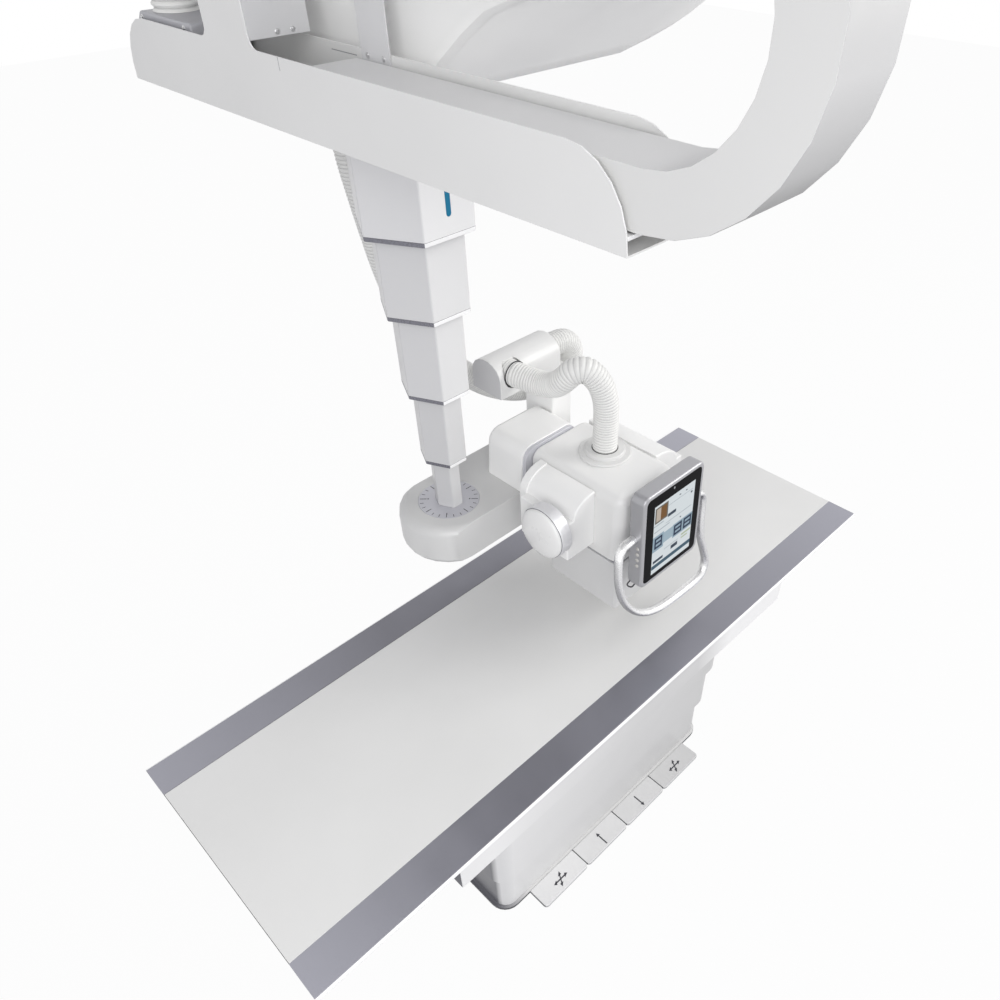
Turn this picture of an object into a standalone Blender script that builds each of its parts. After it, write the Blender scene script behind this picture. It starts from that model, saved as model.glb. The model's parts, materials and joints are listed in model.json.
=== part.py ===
"""Digital radiography system: an X-ray tube head hung from the ceiling, over a lifting table.

World frame in metres, +Z up, origin at the centre of the table base's underside. X runs along the table, the
operator stands at -Y.
"""

import math

import bmesh
import bpy
from mathutils import Matrix, Vector

# Every pair of touching pieces keeps this gap.
GAP = 0.0003
# Facets in a quarter turn of a small and of a large round.
ARC_SMALL = 3
ARC_LARGE = 6
# Facets round a whole disc, and round the dial, which turns in a close seat.
DISC_STEPS = 36
DIAL_STEPS = 72
# How far a cutter runs past the face that it cuts through.
OVERRUN = 0.010
# Coordinates nearer than this count as the same.
SAME = 1e-6

# Table base: plate, three nested skirts and the mast inside them.
BASE_HALF_X = 0.520
BASE_HALF_Y = 0.278
BASE_PLATE_T = 0.012
BASE_CORNER_R = 0.060
SKIRT_STEP = 0.015
SKIRT_WALL = SKIRT_STEP - GAP
LOWER_SKIRT_HALF_X = 0.507
LOWER_SKIRT_HALF_Y = 0.268
LOWER_SKIRT_TOP = 0.380
MID_SKIRT_Z = (0.205, 0.500)
UPPER_SKIRT_BOTTOM = 0.400
LIFT_FRAME_Z = 0.640
LIFT_FRAME_T = 0.010
MAST_HALF_X = 0.150
MAST_HALF_Y = 0.110
MAST_WALL = 0.012
MAST_TOP = 0.370
MAST_INNER_BOTTOM = 0.275

# Foot pedals along the -Y side of the base.
PEDAL_COUNT = 4
PEDAL_PITCH = 0.2035
PEDAL_REACH = 0.078
PEDAL_T = 0.012
PEDAL_CLEAR = 0.004
PEDAL_SEAM = 0.0016
PEDAL_CORNER_R = 0.012
PEDAL_EDGE_R = 0.003

# Tabletop: a thin flat panel between two wide side rails, on a frame that floats.
TOP_HALF_X = 1.120
TOP_Z = 0.800
PANEL_HALF_Y = 0.294
PANEL_T = 0.0075
RAIL_OUTER_Y = 0.400
RAIL_LIP_T = 0.011
RAIL_KEEL_T = 0.018
RAIL_LEDGE_W = 0.030
RAIL_STEP_W = 0.016
RAIL_STEP_SLOPE = 0.006
RAIL_EDGE_W = 0.008
RAIL_EDGE_H = 0.004
FLOAT_HALF_X = 0.710
FLOAT_HALF_Y = 0.375
FLOAT_WALL = 0.040
FLOAT_FLOOR_T = 0.008
FLOAT_EDGE_R = 0.002
TRAY_HALF_X = 0.230
TRAY_Z = (0.700, 0.762)
TRAY_EDGE_R = 0.004
PANEL_EDGE_R = 0.001

# Ceiling rails along X and the bridge that rolls under them, each height set down from the ceiling.
CEILING_Z = 2.940
RAIL_HALF_W = 0.052
RAIL_H = 0.078
RAIL_WALL = 0.007
RAIL_SLOT_HALF = 0.018
RAIL_X = (-1.350, 1.150)
RAIL_SPACING = 1.980
RAIL_MIDDLE_Y = 0.090
RAIL_FRONT_Y = RAIL_MIDDLE_Y - RAIL_SPACING / 2
RAIL_REAR_Y = RAIL_MIDDLE_Y + RAIL_SPACING / 2
TRUCK_H = 0.062
TRUCK_HALF_W = 0.060
TRUCK_X = (-0.520, 0.220)
SHOE_CLEAR = 0.004
SHOE_H = 0.024
BEAM_H = 0.100
BEAM_HIGH = CEILING_Z - RAIL_H - TRUCK_H
BEAM_LOW = BEAM_HIGH - BEAM_H
BEAM_Z = (BEAM_LOW, BEAM_HIGH)
BEAM_WALL = 0.008
BEAM_LEFT_X = (-0.470, -0.298)
BEAM_RIGHT_X = (0.095, 0.155)

# Carriage under the beams, with the round-nosed cover that hides the column's top.
CARRIAGE_Y = (0.050, 0.500)
CARRIAGE_WEB_HALF = 0.050
CARRIAGE_DROP = 0.060
CARRIAGE_FLANGE_Z = BEAM_LOW - CARRIAGE_DROP
CARRIAGE_FLANGE_T = 0.012
CARRIAGE_PLATE_T = 0.024
CARRIAGE_FLANGE_REACH = 0.100
SHOE_LIP = 0.006
POD_X = (-0.262, 0.650)
POD_H = 0.385
POD_BOTTOM = CARRIAGE_FLANGE_Z - POD_H
POD_BACK_Y = 0.560
POD_WALL = 0.010
POD_FLAT_X = 0.290
POD_HOLLOW_REACH = 0.040
POD_RIM = 0.020
POD_HOLE_CLEAR = 0.004
# Where the cover's floor rises towards the nose: Y, and height above the floor.
POD_NOSE = (
    (0.094, 0.0),
    (0.048, 0.028),
    (-0.003, 0.069),
    (-0.061, 0.111),
    (-0.116, 0.145),
    (-0.184, 0.169),
    (-0.239, 0.180),
    (-0.300, 0.189),
    (-0.352, 0.212),
    (-0.392, 0.269),
)
# Where it rises towards the ends: X, and height above the floor.
POD_SWEEP = (
    (POD_X[0], 0.026),
    (POD_X[0] + 0.008, 0.008),
    (POD_X[0] + 0.026, 0.0),
    (0.303, 0.0),
    (0.400, 0.015),
    (0.477, 0.030),
    (0.544, 0.052),
    (0.590, 0.075),
    (0.625, 0.110),
    (0.645, 0.160),
    (POD_X[1], 0.240),
)

# Swivel arm at the column's foot.
ARM_BOTTOM = 1.041
ARM_H = 0.125
ARM_TOP = ARM_BOTTOM + ARM_H
ARM_HALF_Y = 0.1265
ARM_END_R = 0.148
ARM_END_X = 0.375
ARM_FILLET = 0.034
ARM_LOWER_FILLET = 0.018
ARM_CORNER_R = 0.030
DIAL_R = 0.089
DIAL_T = 0.004
BORE_R = 0.0510
BORE_DEPTH = 0.091
BORE_FLOOR = ARM_TOP - BORE_DEPTH
RISER_X = (0.070, 0.284)
RISER_BACK_Y = 0.347
RISER_H = 0.145
RISER_TOP = ARM_TOP + RISER_H
RISER_FILLET = 0.030
RISER_LEFT_FILLET = 0.042
RISER_BACK_FILLET = 0.014
RISER_LEAN = 0.010

# Telescopic column: five nested hexagonal tubes, the sizes across flats halved.
COLUMN_X = -0.107
COLUMN_Y = 0.325
STAGE_HALF_FLATS = (0.1250, 0.1030, 0.0870, 0.0650, 0.0430)
STAGE_REACHES = (0.1400, 0.1120, 0.0850, 0.0610, 0.0380)
STAGE_HALF_FACES = (0.0720, 0.0560, 0.0430, 0.0295, 0.0170)
# Each outer tube ends at a share of the way from the cover down to the arm, and the next reaches up in it.
STAGE_SHARES = (0.27089, 0.44812, 0.65106, 0.84757)
STAGE_LAPS = (0.460, 0.533, 0.604, 0.718)
STAGE_BOTTOMS = tuple(POD_BOTTOM - share * (POD_BOTTOM - ARM_TOP) for share in STAGE_SHARES)
STAGE_TOPS = (CARRIAGE_FLANGE_Z - GAP, *(low + lap for low, lap in zip(STAGE_BOTTOMS, STAGE_LAPS)))
STAGE_WALL = 0.006
STAGE_EDGE_R = 0.006
SEAL_H = 0.010
LENS_HALF_W = 0.0065
LENS_RISE = (0.038, 0.125)
LENS_DEPTH = 0.004
LENS_PROUD = 0.0005

# Round bearing between the arm and the tube head, on the head's Y axis.
HEAD_AXIS_X = 0.2150
HEAD_AXIS_Z = 1.190
FLANGE_T = 0.0120
FLANGE_INSET = 0.004
FLANGE_RISE = 0.024
FLANGE_HIDDEN_X = 0.040
FLANGE_HIDDEN_Z = 0.025
BEARING_R = 0.072

# Tube head.
HEAD_X = (0.096, 0.334)
HEAD_FRONT_Y = -0.155
HEAD_Z = (1.079, 1.302)
HEAD_FILLET = 0.034
HEAD_BACK_FILLET = 0.010
SHROUD_LEFT_X = -0.010
SHROUD_RIGHT_X = 0.462
SHROUD_LEFT_Y = (-0.062, 0.121)
SHROUD_LEFT_Z = (1.105, 1.290)
SHROUD_RIGHT_Y = (-0.080, 0.158)
SHROUD_RIGHT_Z = (1.105, 1.292)
SHROUD_FRONT_R = 0.024
SHROUD_COLLAR = 0.004
SHROUD_COLLAR_W = 0.024
SHROUD_LEDGE_Z = 1.233
SHROUD_LEDGE = 0.024
SHROUD_LIP = 0.003
SHROUD_LAP = 0.002
TUBE_Y = -0.005
TUBE_Z = 1.197
CAP_RING_R = 0.0775
CAP_FACE_R = 0.0745
CAP_RING_X = -0.050
CAP_DOME = 0.018
CAP_EDGE_R = 0.003
CAP_RIM_H = 0.004
GLAND_X = 0.236
GLAND_Y = 0.030
GLAND_R = 0.0750
GLAND_NECK_R = 0.0580
GLAND_BASE_H = 0.009
GLAND_NECK_H = 0.018
GLAND_FLOOR_H = 0.005
GLAND_EDGE_R = 0.003
GLAND_CLEAR = 0.001

# Collimator under the head.
COLLIMATOR_BACK_Y = 0.112
COLLIMATOR_BOTTOM = 0.898
COLLIMATOR_TOP = 1.0715
SWIVEL_INSET = 0.004
COLLIMATOR_CORNER_R = 0.010
COLLIMATOR_EDGE_R = 0.003

# Operator display on the head's front, tilted a little upward.
DISPLAY_X = (0.0960, 0.3520)
DISPLAY_Z = (1.0340, 1.3460)
DISPLAY_BACK_Y = -0.1830
DISPLAY_T = 0.0480
DISPLAY_TILT = math.radians(-2.0)
DISPLAY_CORNER_R = 0.026
DISPLAY_FRONT_EDGE = 0.004
DISPLAY_BACK_EDGE = 0.011
GLASS_MARGIN = 0.0125
GLASS_T = 0.004
GLASS_SUNK = 0.0002
GLASS_CORNER_R = 0.014
MOUNT_X = (0.150, 0.300)
MOUNT_Z = (1.110, 1.285)
MOUNT_LAP = 0.012
SMALL_EDGE_R = 0.003
HANDLE_R = 0.0105
HANDLE_WIDE_R = 0.0140
HANDLE_SIDES = 12
HANDLE_STEP = 0.021
HANDLE_TOP_Y = -0.205
HANDLE_LEAN = 0.160
# Where the rail's middle line runs, from the left end to the right one: X and Z.
HANDLE_LINE = (
    (0.072, 1.205),
    (0.050, 1.204),
    (0.036, 1.188),
    (0.028, 1.150),
    (0.024, 1.090),
    (0.037, 1.029),
    (0.074, 0.973),
    (0.122, 0.936),
    (0.182, 0.914),
    (0.245, 0.907),
    (0.310, 0.905),
    (0.366, 0.907),
    (0.397, 0.922),
    (0.407, 0.954),
    (0.397, 1.002),
    (0.386, 1.048),
    (0.387, 1.099),
    (0.395, 1.152),
    (0.398, 1.184),
    (0.388, 1.203),
    (0.370, 1.207),
)

# Hose tunnel and its post on the arm.
POST_X = (0.285, 0.365)
POST_Y = (0.285, 0.404)
TUNNEL_X = (0.082, 0.320)
TUNNEL_Y = (0.285, 0.404)
TUNNEL_RISE = 0.116
TUNNEL_H = 0.103
TUNNEL_LOW = RISER_TOP + TUNNEL_RISE
TUNNEL_Z = (TUNNEL_LOW, TUNNEL_LOW + TUNNEL_H)
TUNNEL_SIDE_H = 0.055
TUNNEL_BORE_H = 0.052
TUNNEL_EDGE_R = 0.004
TUNNEL_ROOF_SIDES = 9
HOSE_R = 0.0355
BORE_CLEAR = 0.0022
SIDE_HOLE_CLEAR = 0.0050
BORE_STEPS = 24
TUNNEL_FLOOR_X = 0.190
SIDE_HOLE_X = 0.138
SIDE_HOLE_RISE = 0.062
SIDE_HOLE_Z = TUNNEL_LOW + SIDE_HOLE_RISE
SIDE_HOLE_FLOOR_Y = 0.315

# Cable trough beside the column, its hangers and the energy chain in it, set down from the beams.
TROUGH_X = (-0.436, -0.300)
TROUGH_Y = (-0.566, 0.788)
TROUGH_DROP = 0.364
TROUGH_H = 0.116
TROUGH_TOP = BEAM_LOW - TROUGH_DROP
TROUGH_Z = (TROUGH_TOP - TROUGH_H, TROUGH_TOP)
SHEET_T = 0.0025
TROUGH_NOSE = 0.108
HANGER_Y = (0.272, 0.420)
HANGER_FOOT_R = 0.020
HANGER_LAP = 0.020
CROSS_PLATE_RISE = 0.011
CROSS_PLATE_X1 = -0.316
STRAP_Y = (0.062, 0.142)
STRAP_LAP = 0.016
CHAIN_CENTRE_Y = -0.573
CHAIN_CENTRE_RISE = 0.246
CHAIN_CENTRE_Z = TROUGH_Z[0] + CHAIN_CENTRE_RISE
CHAIN_INNER_R = 0.143
CHAIN_OUTER_R = 0.218
CHAIN_X = (-0.425, -0.311)
CHAIN_LOWER_END = 0.150
CHAIN_UPPER_END = -0.080
CHAIN_LINKS = 13
BRACKET_T = 0.008
BRACKET_W = 0.080
BRACKET_ROOT = 0.060
BRACKET_LAP = 0.030
BRACKET_CLEAR = 0.004
SUPPLY_R = 0.045
CLAMP_Y = (0.500, 0.722)
CLAMP_RISE = 0.009
CLAMP_CHAMFER = 0.016
CLAMP_EDGE_R = 0.003
SUPPLY_SHIFT = 0.080
SUPPLY_STEP = 0.050

LIGHT_PAINT = (0.80, 0.80, 0.79)


def clear_scene():
    for obj in list(bpy.data.objects):
        bpy.data.objects.remove(obj, do_unlink=True)


MATERIALS = {}


def material(name, colour, roughness, metallic=0.0):
    """The Principled material of this name, made once."""
    if name not in MATERIALS:
        made = bpy.data.materials.new(name)
        made.use_nodes = True
        shader = made.node_tree.nodes["Principled BSDF"]
        shader.inputs["Base Color"].default_value = (*colour, 1.0)
        shader.inputs["Roughness"].default_value = roughness
        shader.inputs["Metallic"].default_value = metallic
        MATERIALS[name] = made
    return MATERIALS[name]


def paint(name):
    return material("paint_" + name, LIGHT_PAINT, 0.45)


def finish(bm, name, mat, origin=(0.0, 0.0, 0.0), crease=35.0):
    """Turns the bmesh into a named object whose origin is at the given point."""
    bmesh.ops.remove_doubles(bm, verts=bm.verts, dist=SAME)
    bmesh.ops.recalc_face_normals(bm, faces=bm.faces)
    bmesh.ops.translate(bm, verts=bm.verts, vec=-Vector(origin))
    mesh = bpy.data.meshes.new(name)
    bm.to_mesh(mesh)
    bm.free()
    mesh.shade_smooth()
    mesh.set_sharp_from_angle(angle=math.radians(crease))
    obj = bpy.data.objects.new(name, mesh)
    obj.location = origin
    bpy.context.collection.objects.link(obj)
    mesh.materials.append(mat)
    return obj


def along(axis, a, b, c):
    """A point from two coordinates in the plane across the axis and one along it."""
    return {"X": (c, a, b), "Y": (a, c, b), "Z": (a, b, c)}[axis]


def prism_bmesh(outline, axis, low, high):
    """Extrudes a closed outline, in the plane across the axis, from low to high."""
    bm = bmesh.new()
    ends = [[bm.verts.new(along(axis, a, b, c)) for a, b in outline] for c in (low, high)]
    count = len(outline)
    for i in range(count):
        j = (i + 1) % count
        bm.faces.new((ends[0][i], ends[0][j], ends[1][j], ends[1][i]))
    bm.faces.new(ends[0][::-1])
    bm.faces.new(ends[1])
    bmesh.ops.recalc_face_normals(bm, faces=bm.faces)
    return bm


def round_edges(bm, width, segments, chosen):
    """Bevels the edges for which chosen(edge) is true."""
    edges = [edge for edge in bm.edges if chosen(edge)]
    bmesh.ops.bevel(
        bm, geom=edges, offset=width, segments=segments, profile=0.5, affect="EDGES", clamp_overlap=True
    )


def sharp(edge, degrees=40.0):
    return len(edge.link_faces) == 2 and edge.calc_face_angle(0.0) > math.radians(degrees)


def cap_edge(axis_index, value):
    """Picks the sharp edges that lie in one plane across an axis."""
    return lambda edge: sharp(edge) and all(abs(v.co[axis_index] - value) < SAME for v in edge.verts)


def prism(name, outline, axis, low, high, mat, bevel=0.0, segments=2, origin=(0.0, 0.0, 0.0)):
    bm = prism_bmesh(outline, axis, low, high)
    if bevel:
        round_edges(bm, bevel, segments, sharp)
    return finish(bm, name, mat, origin)


def arc(centre, radius, start, end, steps):
    """Points on an arc from start to end in degrees, both ends in."""
    found = []
    for i in range(steps + 1):
        angle = math.radians(start + (end - start) * i / steps)
        found.append((centre[0] + radius * math.cos(angle), centre[1] + radius * math.sin(angle)))
    return found


def rounded_rect(low, high, radius, steps=ARC_SMALL):
    (x0, y0), (x1, y1) = low, high
    corners = ((x1, y1, 0), (x0, y1, 90), (x0, y0, 180), (x1, y0, 270))
    points = []
    for x, y, start in corners:
        cx = x - radius if x == x1 else x + radius
        cy = y - radius if y == y1 else y + radius
        points += arc((cx, cy), radius, start, start + 90, steps)
    return points


def grow_outline(points, amount):
    """Moves every side of a convex outline, given anticlockwise, out by the amount."""
    count = len(points)
    lines = []
    for i in range(count):
        (ax, ay), (bx, by) = points[i], points[(i + 1) % count]
        length = math.hypot(bx - ax, by - ay)
        nx, ny = (by - ay) / length, (ax - bx) / length
        lines.append((nx, ny, nx * ax + ny * ay + amount))
    found = []
    for i in range(count):
        (n1, m1, d1), (n2, m2, d2) = lines[i - 1], lines[i]
        det = n1 * m2 - n2 * m1
        found.append(((d1 * m2 - d2 * m1) / det, (n1 * d2 - n2 * d1) / det))
    return found


def round_outline(points, radius):
    """Replaces each corner of a convex outline with three points of an arc."""
    count = len(points)
    found = []
    for i in range(count):
        corner = Vector(points[i])
        to_last = (Vector(points[i - 1]) - corner).normalized()
        to_next = (Vector(points[(i + 1) % count]) - corner).normalized()
        half = to_last.angle(to_next) / 2
        middle = (to_last + to_next).normalized()
        centre = corner + middle * (radius / math.sin(half))
        reach = radius / math.tan(half)
        for place in (corner + to_last * reach, centre - middle * radius, corner + to_next * reach):
            found.append(tuple(place))
    return found


def stage_outline(number, grow=0.0, radius=None):
    """Rounded hexagon of a column stage, its flats facing -Y and +Y, with each side moved out by grow."""
    reach, face, flat = STAGE_REACHES[number], STAGE_HALF_FACES[number], STAGE_HALF_FLATS[number]
    corners = [(reach, 0), (face, flat), (-face, flat), (-reach, 0), (-face, -flat), (face, -flat)]
    points = grow_outline([(COLUMN_X + x, COLUMN_Y + y) for x, y in corners], grow)
    return round_outline(points, STAGE_EDGE_R if radius is None else radius)


def box_outline(x0, x1, y0, y1):
    return [(x0, y0), (x1, y0), (x1, y1), (x0, y1)]


def ring_prism(name, outer, inner, low, high, mat, origin=(0.0, 0.0, 0.0)):
    """Upright tube between two outlines that have the same number of points."""
    bm = bmesh.new()
    count = len(outer)
    loops = []
    for outline in (outer, inner):
        for z in (low, high):
            loops.append([bm.verts.new((x, y, z)) for x, y in outline])
    out_low, out_high, in_low, in_high = loops
    for i in range(count):
        j = (i + 1) % count
        bm.faces.new((out_low[i], out_low[j], out_high[j], out_high[i]))
        bm.faces.new((in_low[j], in_low[i], in_high[i], in_high[j]))
        bm.faces.new((out_high[i], out_high[j], in_high[j], in_high[i]))
        bm.faces.new((out_low[j], out_low[i], in_low[i], in_low[j]))
    return finish(bm, name, mat, origin)


def lathe(name, profile, axis, centre, mat, steps=32, origin=(0.0, 0.0, 0.0)):
    """Revolves (radius, distance along the axis) points about the axis through centre."""
    bm = bmesh.new()
    rings = []
    for radius, reach in profile:
        if radius < 1e-9:
            rings.append([bm.verts.new(along(axis, centre[0], centre[1], reach))])
            continue
        ring = []
        for i in range(steps):
            angle = 2 * math.pi * i / steps
            a = centre[0] + radius * math.cos(angle)
            b = centre[1] + radius * math.sin(angle)
            ring.append(bm.verts.new(along(axis, a, b, reach)))
        rings.append(ring)
    closed = profile[0][0] > 1e-9
    pairs = list(zip(rings, rings[1:] + rings[:1] if closed else rings[1:]))
    for first, second in pairs:
        for i in range(steps):
            j = (i + 1) % steps
            if len(first) == 1 and len(second) == 1:
                continue
            if len(first) == 1:
                bm.faces.new((first[0], second[i], second[j]))
            elif len(second) == 1:
                bm.faces.new((first[i], first[j], second[0]))
            else:
                bm.faces.new((first[i], first[j], second[j], second[i]))
    return finish(bm, name, mat, origin)


def disc(name, radius, low, high, axis, centre, mat, steps=DISC_STEPS, origin=(0.0, 0.0, 0.0)):
    """Plain round solid between two places along its axis."""
    return lathe(name, [(0, low), (radius, low), (radius, high), (0, high)], axis, centre, mat, steps, origin)


def cut(obj, cutter):
    """Takes the cutter's volume out of the object and hides the cutter."""
    modifier = obj.modifiers.new("cut_" + cutter.name, "BOOLEAN")
    modifier.operation = "DIFFERENCE"
    modifier.solver = "EXACT"
    modifier.object = cutter
    cutter.hide_render = True
    cutter.display_type = "WIRE"


def join(obj, other):
    """Welds the other shape onto the object and hides it."""
    modifier = obj.modifiers.new("join_" + other.name, "BOOLEAN")
    modifier.operation = "UNION"
    modifier.solver = "EXACT"
    modifier.object = other
    other.hide_render = True
    other.display_type = "WIRE"


def smooth_route(route, spacing):
    """Evenly spaced points on a Catmull-Rom curve through the route."""
    points = [Vector(p) for p in route]
    padded = [2 * points[0] - points[1]] + points + [2 * points[-1] - points[-2]]
    dense = []
    for i in range(1, len(padded) - 2):
        p0, p1, p2, p3 = padded[i - 1 : i + 3]
        for step in range(24):
            t = step / 24
            dense.append(
                0.5
                * (
                    2 * p1
                    + (p2 - p0) * t
                    + (2 * p0 - 5 * p1 + 4 * p2 - p3) * t * t
                    + (3 * p1 - p0 - 3 * p2 + p3) * t * t * t
                )
            )
    dense.append(points[-1])
    lengths = [0.0]
    for a, b in zip(dense, dense[1:]):
        lengths.append(lengths[-1] + (b - a).length)
    count = max(2, round(lengths[-1] / spacing))
    found = []
    index = 0
    for i in range(count + 1):
        wanted = lengths[-1] * i / count
        while index < len(dense) - 2 and lengths[index + 1] < wanted:
            index += 1
        span = lengths[index + 1] - lengths[index]
        share = (wanted - lengths[index]) / span if span else 0.0
        found.append(dense[index].lerp(dense[index + 1], min(1.0, share)))
    return found


def tube_along(name, route, radius, mat, spacing, resolution=2):
    """Curve object with a round bevel and closed ends along the route."""
    curve = bpy.data.curves.new(name, "CURVE")
    curve.dimensions = "3D"
    curve.bevel_depth = radius
    curve.bevel_resolution = resolution
    curve.use_fill_caps = True
    points = smooth_route(route, spacing)
    spline = curve.splines.new("POLY")
    spline.points.add(len(points) - 1)
    for target, point in zip(spline.points, points):
        target.co = (*point, 1.0)
    curve.materials.append(mat)
    obj = bpy.data.objects.new(name, curve)
    bpy.context.collection.objects.link(obj)
    return obj


# Tabletop and base.


def build_base():
    plate = rounded_rect((-BASE_HALF_X, -BASE_HALF_Y), (BASE_HALF_X, BASE_HALF_Y), BASE_CORNER_R, ARC_LARGE)
    dark = material("base_plate", (0.16, 0.17, 0.19), 0.55)
    prism("base_plate", plate, "Z", 0.0, BASE_PLATE_T, dark)
    levels = (
        ("base_lower_skirt", BASE_PLATE_T + GAP, LOWER_SKIRT_TOP),
        ("base_mid_skirt", *MID_SKIRT_Z),
        ("base_upper_skirt", UPPER_SKIRT_BOTTOM, LIFT_FRAME_Z - GAP),
    )
    for number, (name, low, high) in enumerate(levels):
        half_x = LOWER_SKIRT_HALF_X + number * SKIRT_STEP
        half_y = LOWER_SKIRT_HALF_Y + number * SKIRT_STEP
        corner = BASE_CORNER_R - (2 - number) * SKIRT_WALL / 2
        outer = rounded_rect((-half_x, -half_y), (half_x, half_y), corner, ARC_LARGE)
        inner_x, inner_y = half_x - SKIRT_WALL, half_y - SKIRT_WALL
        inner = rounded_rect((-inner_x, -inner_y), (inner_x, inner_y), corner - SKIRT_WALL, ARC_LARGE)
        ring_prism(name, outer, inner, low, high, paint(name), origin=(0.0, 0.0, low))
    mast_grey = material("lift_mast", (0.30, 0.31, 0.33), 0.4, 0.6)
    outer = box_outline(-MAST_HALF_X, MAST_HALF_X, -MAST_HALF_Y, MAST_HALF_Y)
    wall_x, wall_y = MAST_HALF_X - MAST_WALL, MAST_HALF_Y - MAST_WALL
    inner = box_outline(-wall_x, wall_x, -wall_y, wall_y)
    ring_prism("lift_mast", outer, inner, BASE_PLATE_T + GAP, MAST_TOP, mast_grey)
    frame_grey = material("lift_frame", (0.30, 0.31, 0.33), 0.4, 0.6)
    slide_x, slide_y = wall_x - GAP, wall_y - GAP
    slide = box_outline(-slide_x, slide_x, -slide_y, slide_y)
    post_z = (MAST_INNER_BOTTOM, LIFT_FRAME_Z + LIFT_FRAME_T / 2)
    post = prism("joined_lift_post", slide, "Z", *post_z, frame_grey)
    upper_x = LOWER_SKIRT_HALF_X + 2 * SKIRT_STEP
    upper_y = LOWER_SKIRT_HALF_Y + 2 * SKIRT_STEP
    plate = rounded_rect((-upper_x, -upper_y), (upper_x, upper_y), BASE_CORNER_R, ARC_LARGE)
    high = LIFT_FRAME_Z + LIFT_FRAME_T
    frame = prism("lift_frame", plate, "Z", LIFT_FRAME_Z, high, frame_grey, origin=(0, 0, LIFT_FRAME_Z))
    join(frame, post)



def build_pedals():
    start = -PEDAL_PITCH * PEDAL_COUNT / 2
    back = -BASE_HALF_Y - GAP
    front = back - PEDAL_REACH
    corner = PEDAL_CORNER_R
    for number in range(PEDAL_COUNT):
        x0 = start + number * PEDAL_PITCH + PEDAL_SEAM / 2
        x1 = x0 + PEDAL_PITCH - PEDAL_SEAM
        outline = [(x1, back), (x0, back)]
        outline += arc((x0 + corner, front + corner), corner, 180, 270, ARC_SMALL)
        outline += arc((x1 - corner, front + corner), corner, 270, 360, ARC_SMALL)
        name = "pedal_%d" % (number + 1)
        hinge = ((x0 + x1) / 2, back, PEDAL_CLEAR)
        bm = prism_bmesh(outline, "Z", PEDAL_CLEAR, PEDAL_CLEAR + PEDAL_T)
        round_edges(bm, PEDAL_EDGE_R, 2, cap_edge(2, PEDAL_CLEAR + PEDAL_T))
        finish(bm, name, paint(name), hinge)


def build_tabletop():
    frame_low = LIFT_FRAME_Z + LIFT_FRAME_T + GAP
    frame_high = TOP_Z - RAIL_KEEL_T - GAP
    outer = box_outline(-FLOAT_HALF_X, FLOAT_HALF_X, -FLOAT_HALF_Y, FLOAT_HALF_Y)
    inner_x, inner_y = FLOAT_HALF_X - FLOAT_WALL, FLOAT_HALF_Y - FLOAT_WALL
    inner = box_outline(-inner_x, inner_x, -inner_y, inner_y)
    mat = paint("float_frame")
    frame = prism("float_frame", outer, "Z", frame_low, frame_high, mat, FLOAT_EDGE_R, 1, (0, 0, frame_low))
    bay_low = frame_low + FLOAT_FLOOR_T
    cut(frame, prism("cutter_float_bay", inner, "Z", bay_low, frame_high + OVERRUN, mat))
    tray = box_outline(-TRAY_HALF_X, TRAY_HALF_X, -inner_y + GAP, inner_y - GAP)
    tray_grey = material("detector_tray", (0.35, 0.36, 0.38), 0.4, 0.3)
    prism("detector_tray", tray, "Z", *TRAY_Z, tray_grey, TRAY_EDGE_R, 1, (0, 0, TRAY_Z[0]))
    panel = box_outline(-TOP_HALF_X, TOP_HALF_X, -PANEL_HALF_Y, PANEL_HALF_Y)
    white = paint("tabletop_panel")
    prism("tabletop_panel", panel, "Z", TOP_Z - PANEL_T, TOP_Z, white, PANEL_EDGE_R, 1, (0, 0, TOP_Z))
    inner_edge = PANEL_HALF_Y + GAP
    step = RAIL_OUTER_Y - RAIL_STEP_W
    section = [
        (inner_edge, TOP_Z),
        (inner_edge, TOP_Z - RAIL_LIP_T),
        (inner_edge + RAIL_LEDGE_W, TOP_Z - RAIL_KEEL_T),
        (step, TOP_Z - RAIL_KEEL_T),
        (step + RAIL_STEP_SLOPE, TOP_Z - RAIL_LIP_T),
        (RAIL_OUTER_Y, TOP_Z - RAIL_LIP_T),
        (RAIL_OUTER_Y, TOP_Z - RAIL_EDGE_H),
        (RAIL_OUTER_Y - RAIL_EDGE_W / 3, TOP_Z - RAIL_EDGE_H / 4),
        (RAIL_OUTER_Y - RAIL_EDGE_W, TOP_Z),
    ]
    for name, side in (("table_rail_far", 1), ("table_rail_near", -1)):
        alloy = material(name, (0.42, 0.42, 0.46), 0.35, 0.8)
        outline = [(side * y, z) for y, z in section]
        prism(name, outline, "X", -TOP_HALF_X, TOP_HALF_X, alloy, origin=(0, side * RAIL_OUTER_Y, TOP_Z))


# Ceiling rails, bridge and trough.


def build_ceiling_rails():
    low = CEILING_Z - RAIL_H
    inner = RAIL_HALF_W - RAIL_WALL
    section = [
        (-RAIL_HALF_W, CEILING_Z),
        (-RAIL_HALF_W, low),
        (-RAIL_SLOT_HALF, low),
        (-RAIL_SLOT_HALF, low + RAIL_WALL),
        (-inner, low + RAIL_WALL),
        (-inner, CEILING_Z - RAIL_WALL),
        (inner, CEILING_Z - RAIL_WALL),
        (inner, low + RAIL_WALL),
        (RAIL_SLOT_HALF, low + RAIL_WALL),
        (RAIL_SLOT_HALF, low),
        (RAIL_HALF_W, low),
        (RAIL_HALF_W, CEILING_Z),
    ]
    for name, y in (("ceiling_rail_front", RAIL_FRONT_Y), ("ceiling_rail_rear", RAIL_REAR_Y)):
        alloy = material(name, (0.62, 0.63, 0.65), 0.35, 0.9)
        prism(name, [(y + a, z) for a, z in section], "X", *RAIL_X, alloy)


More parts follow.
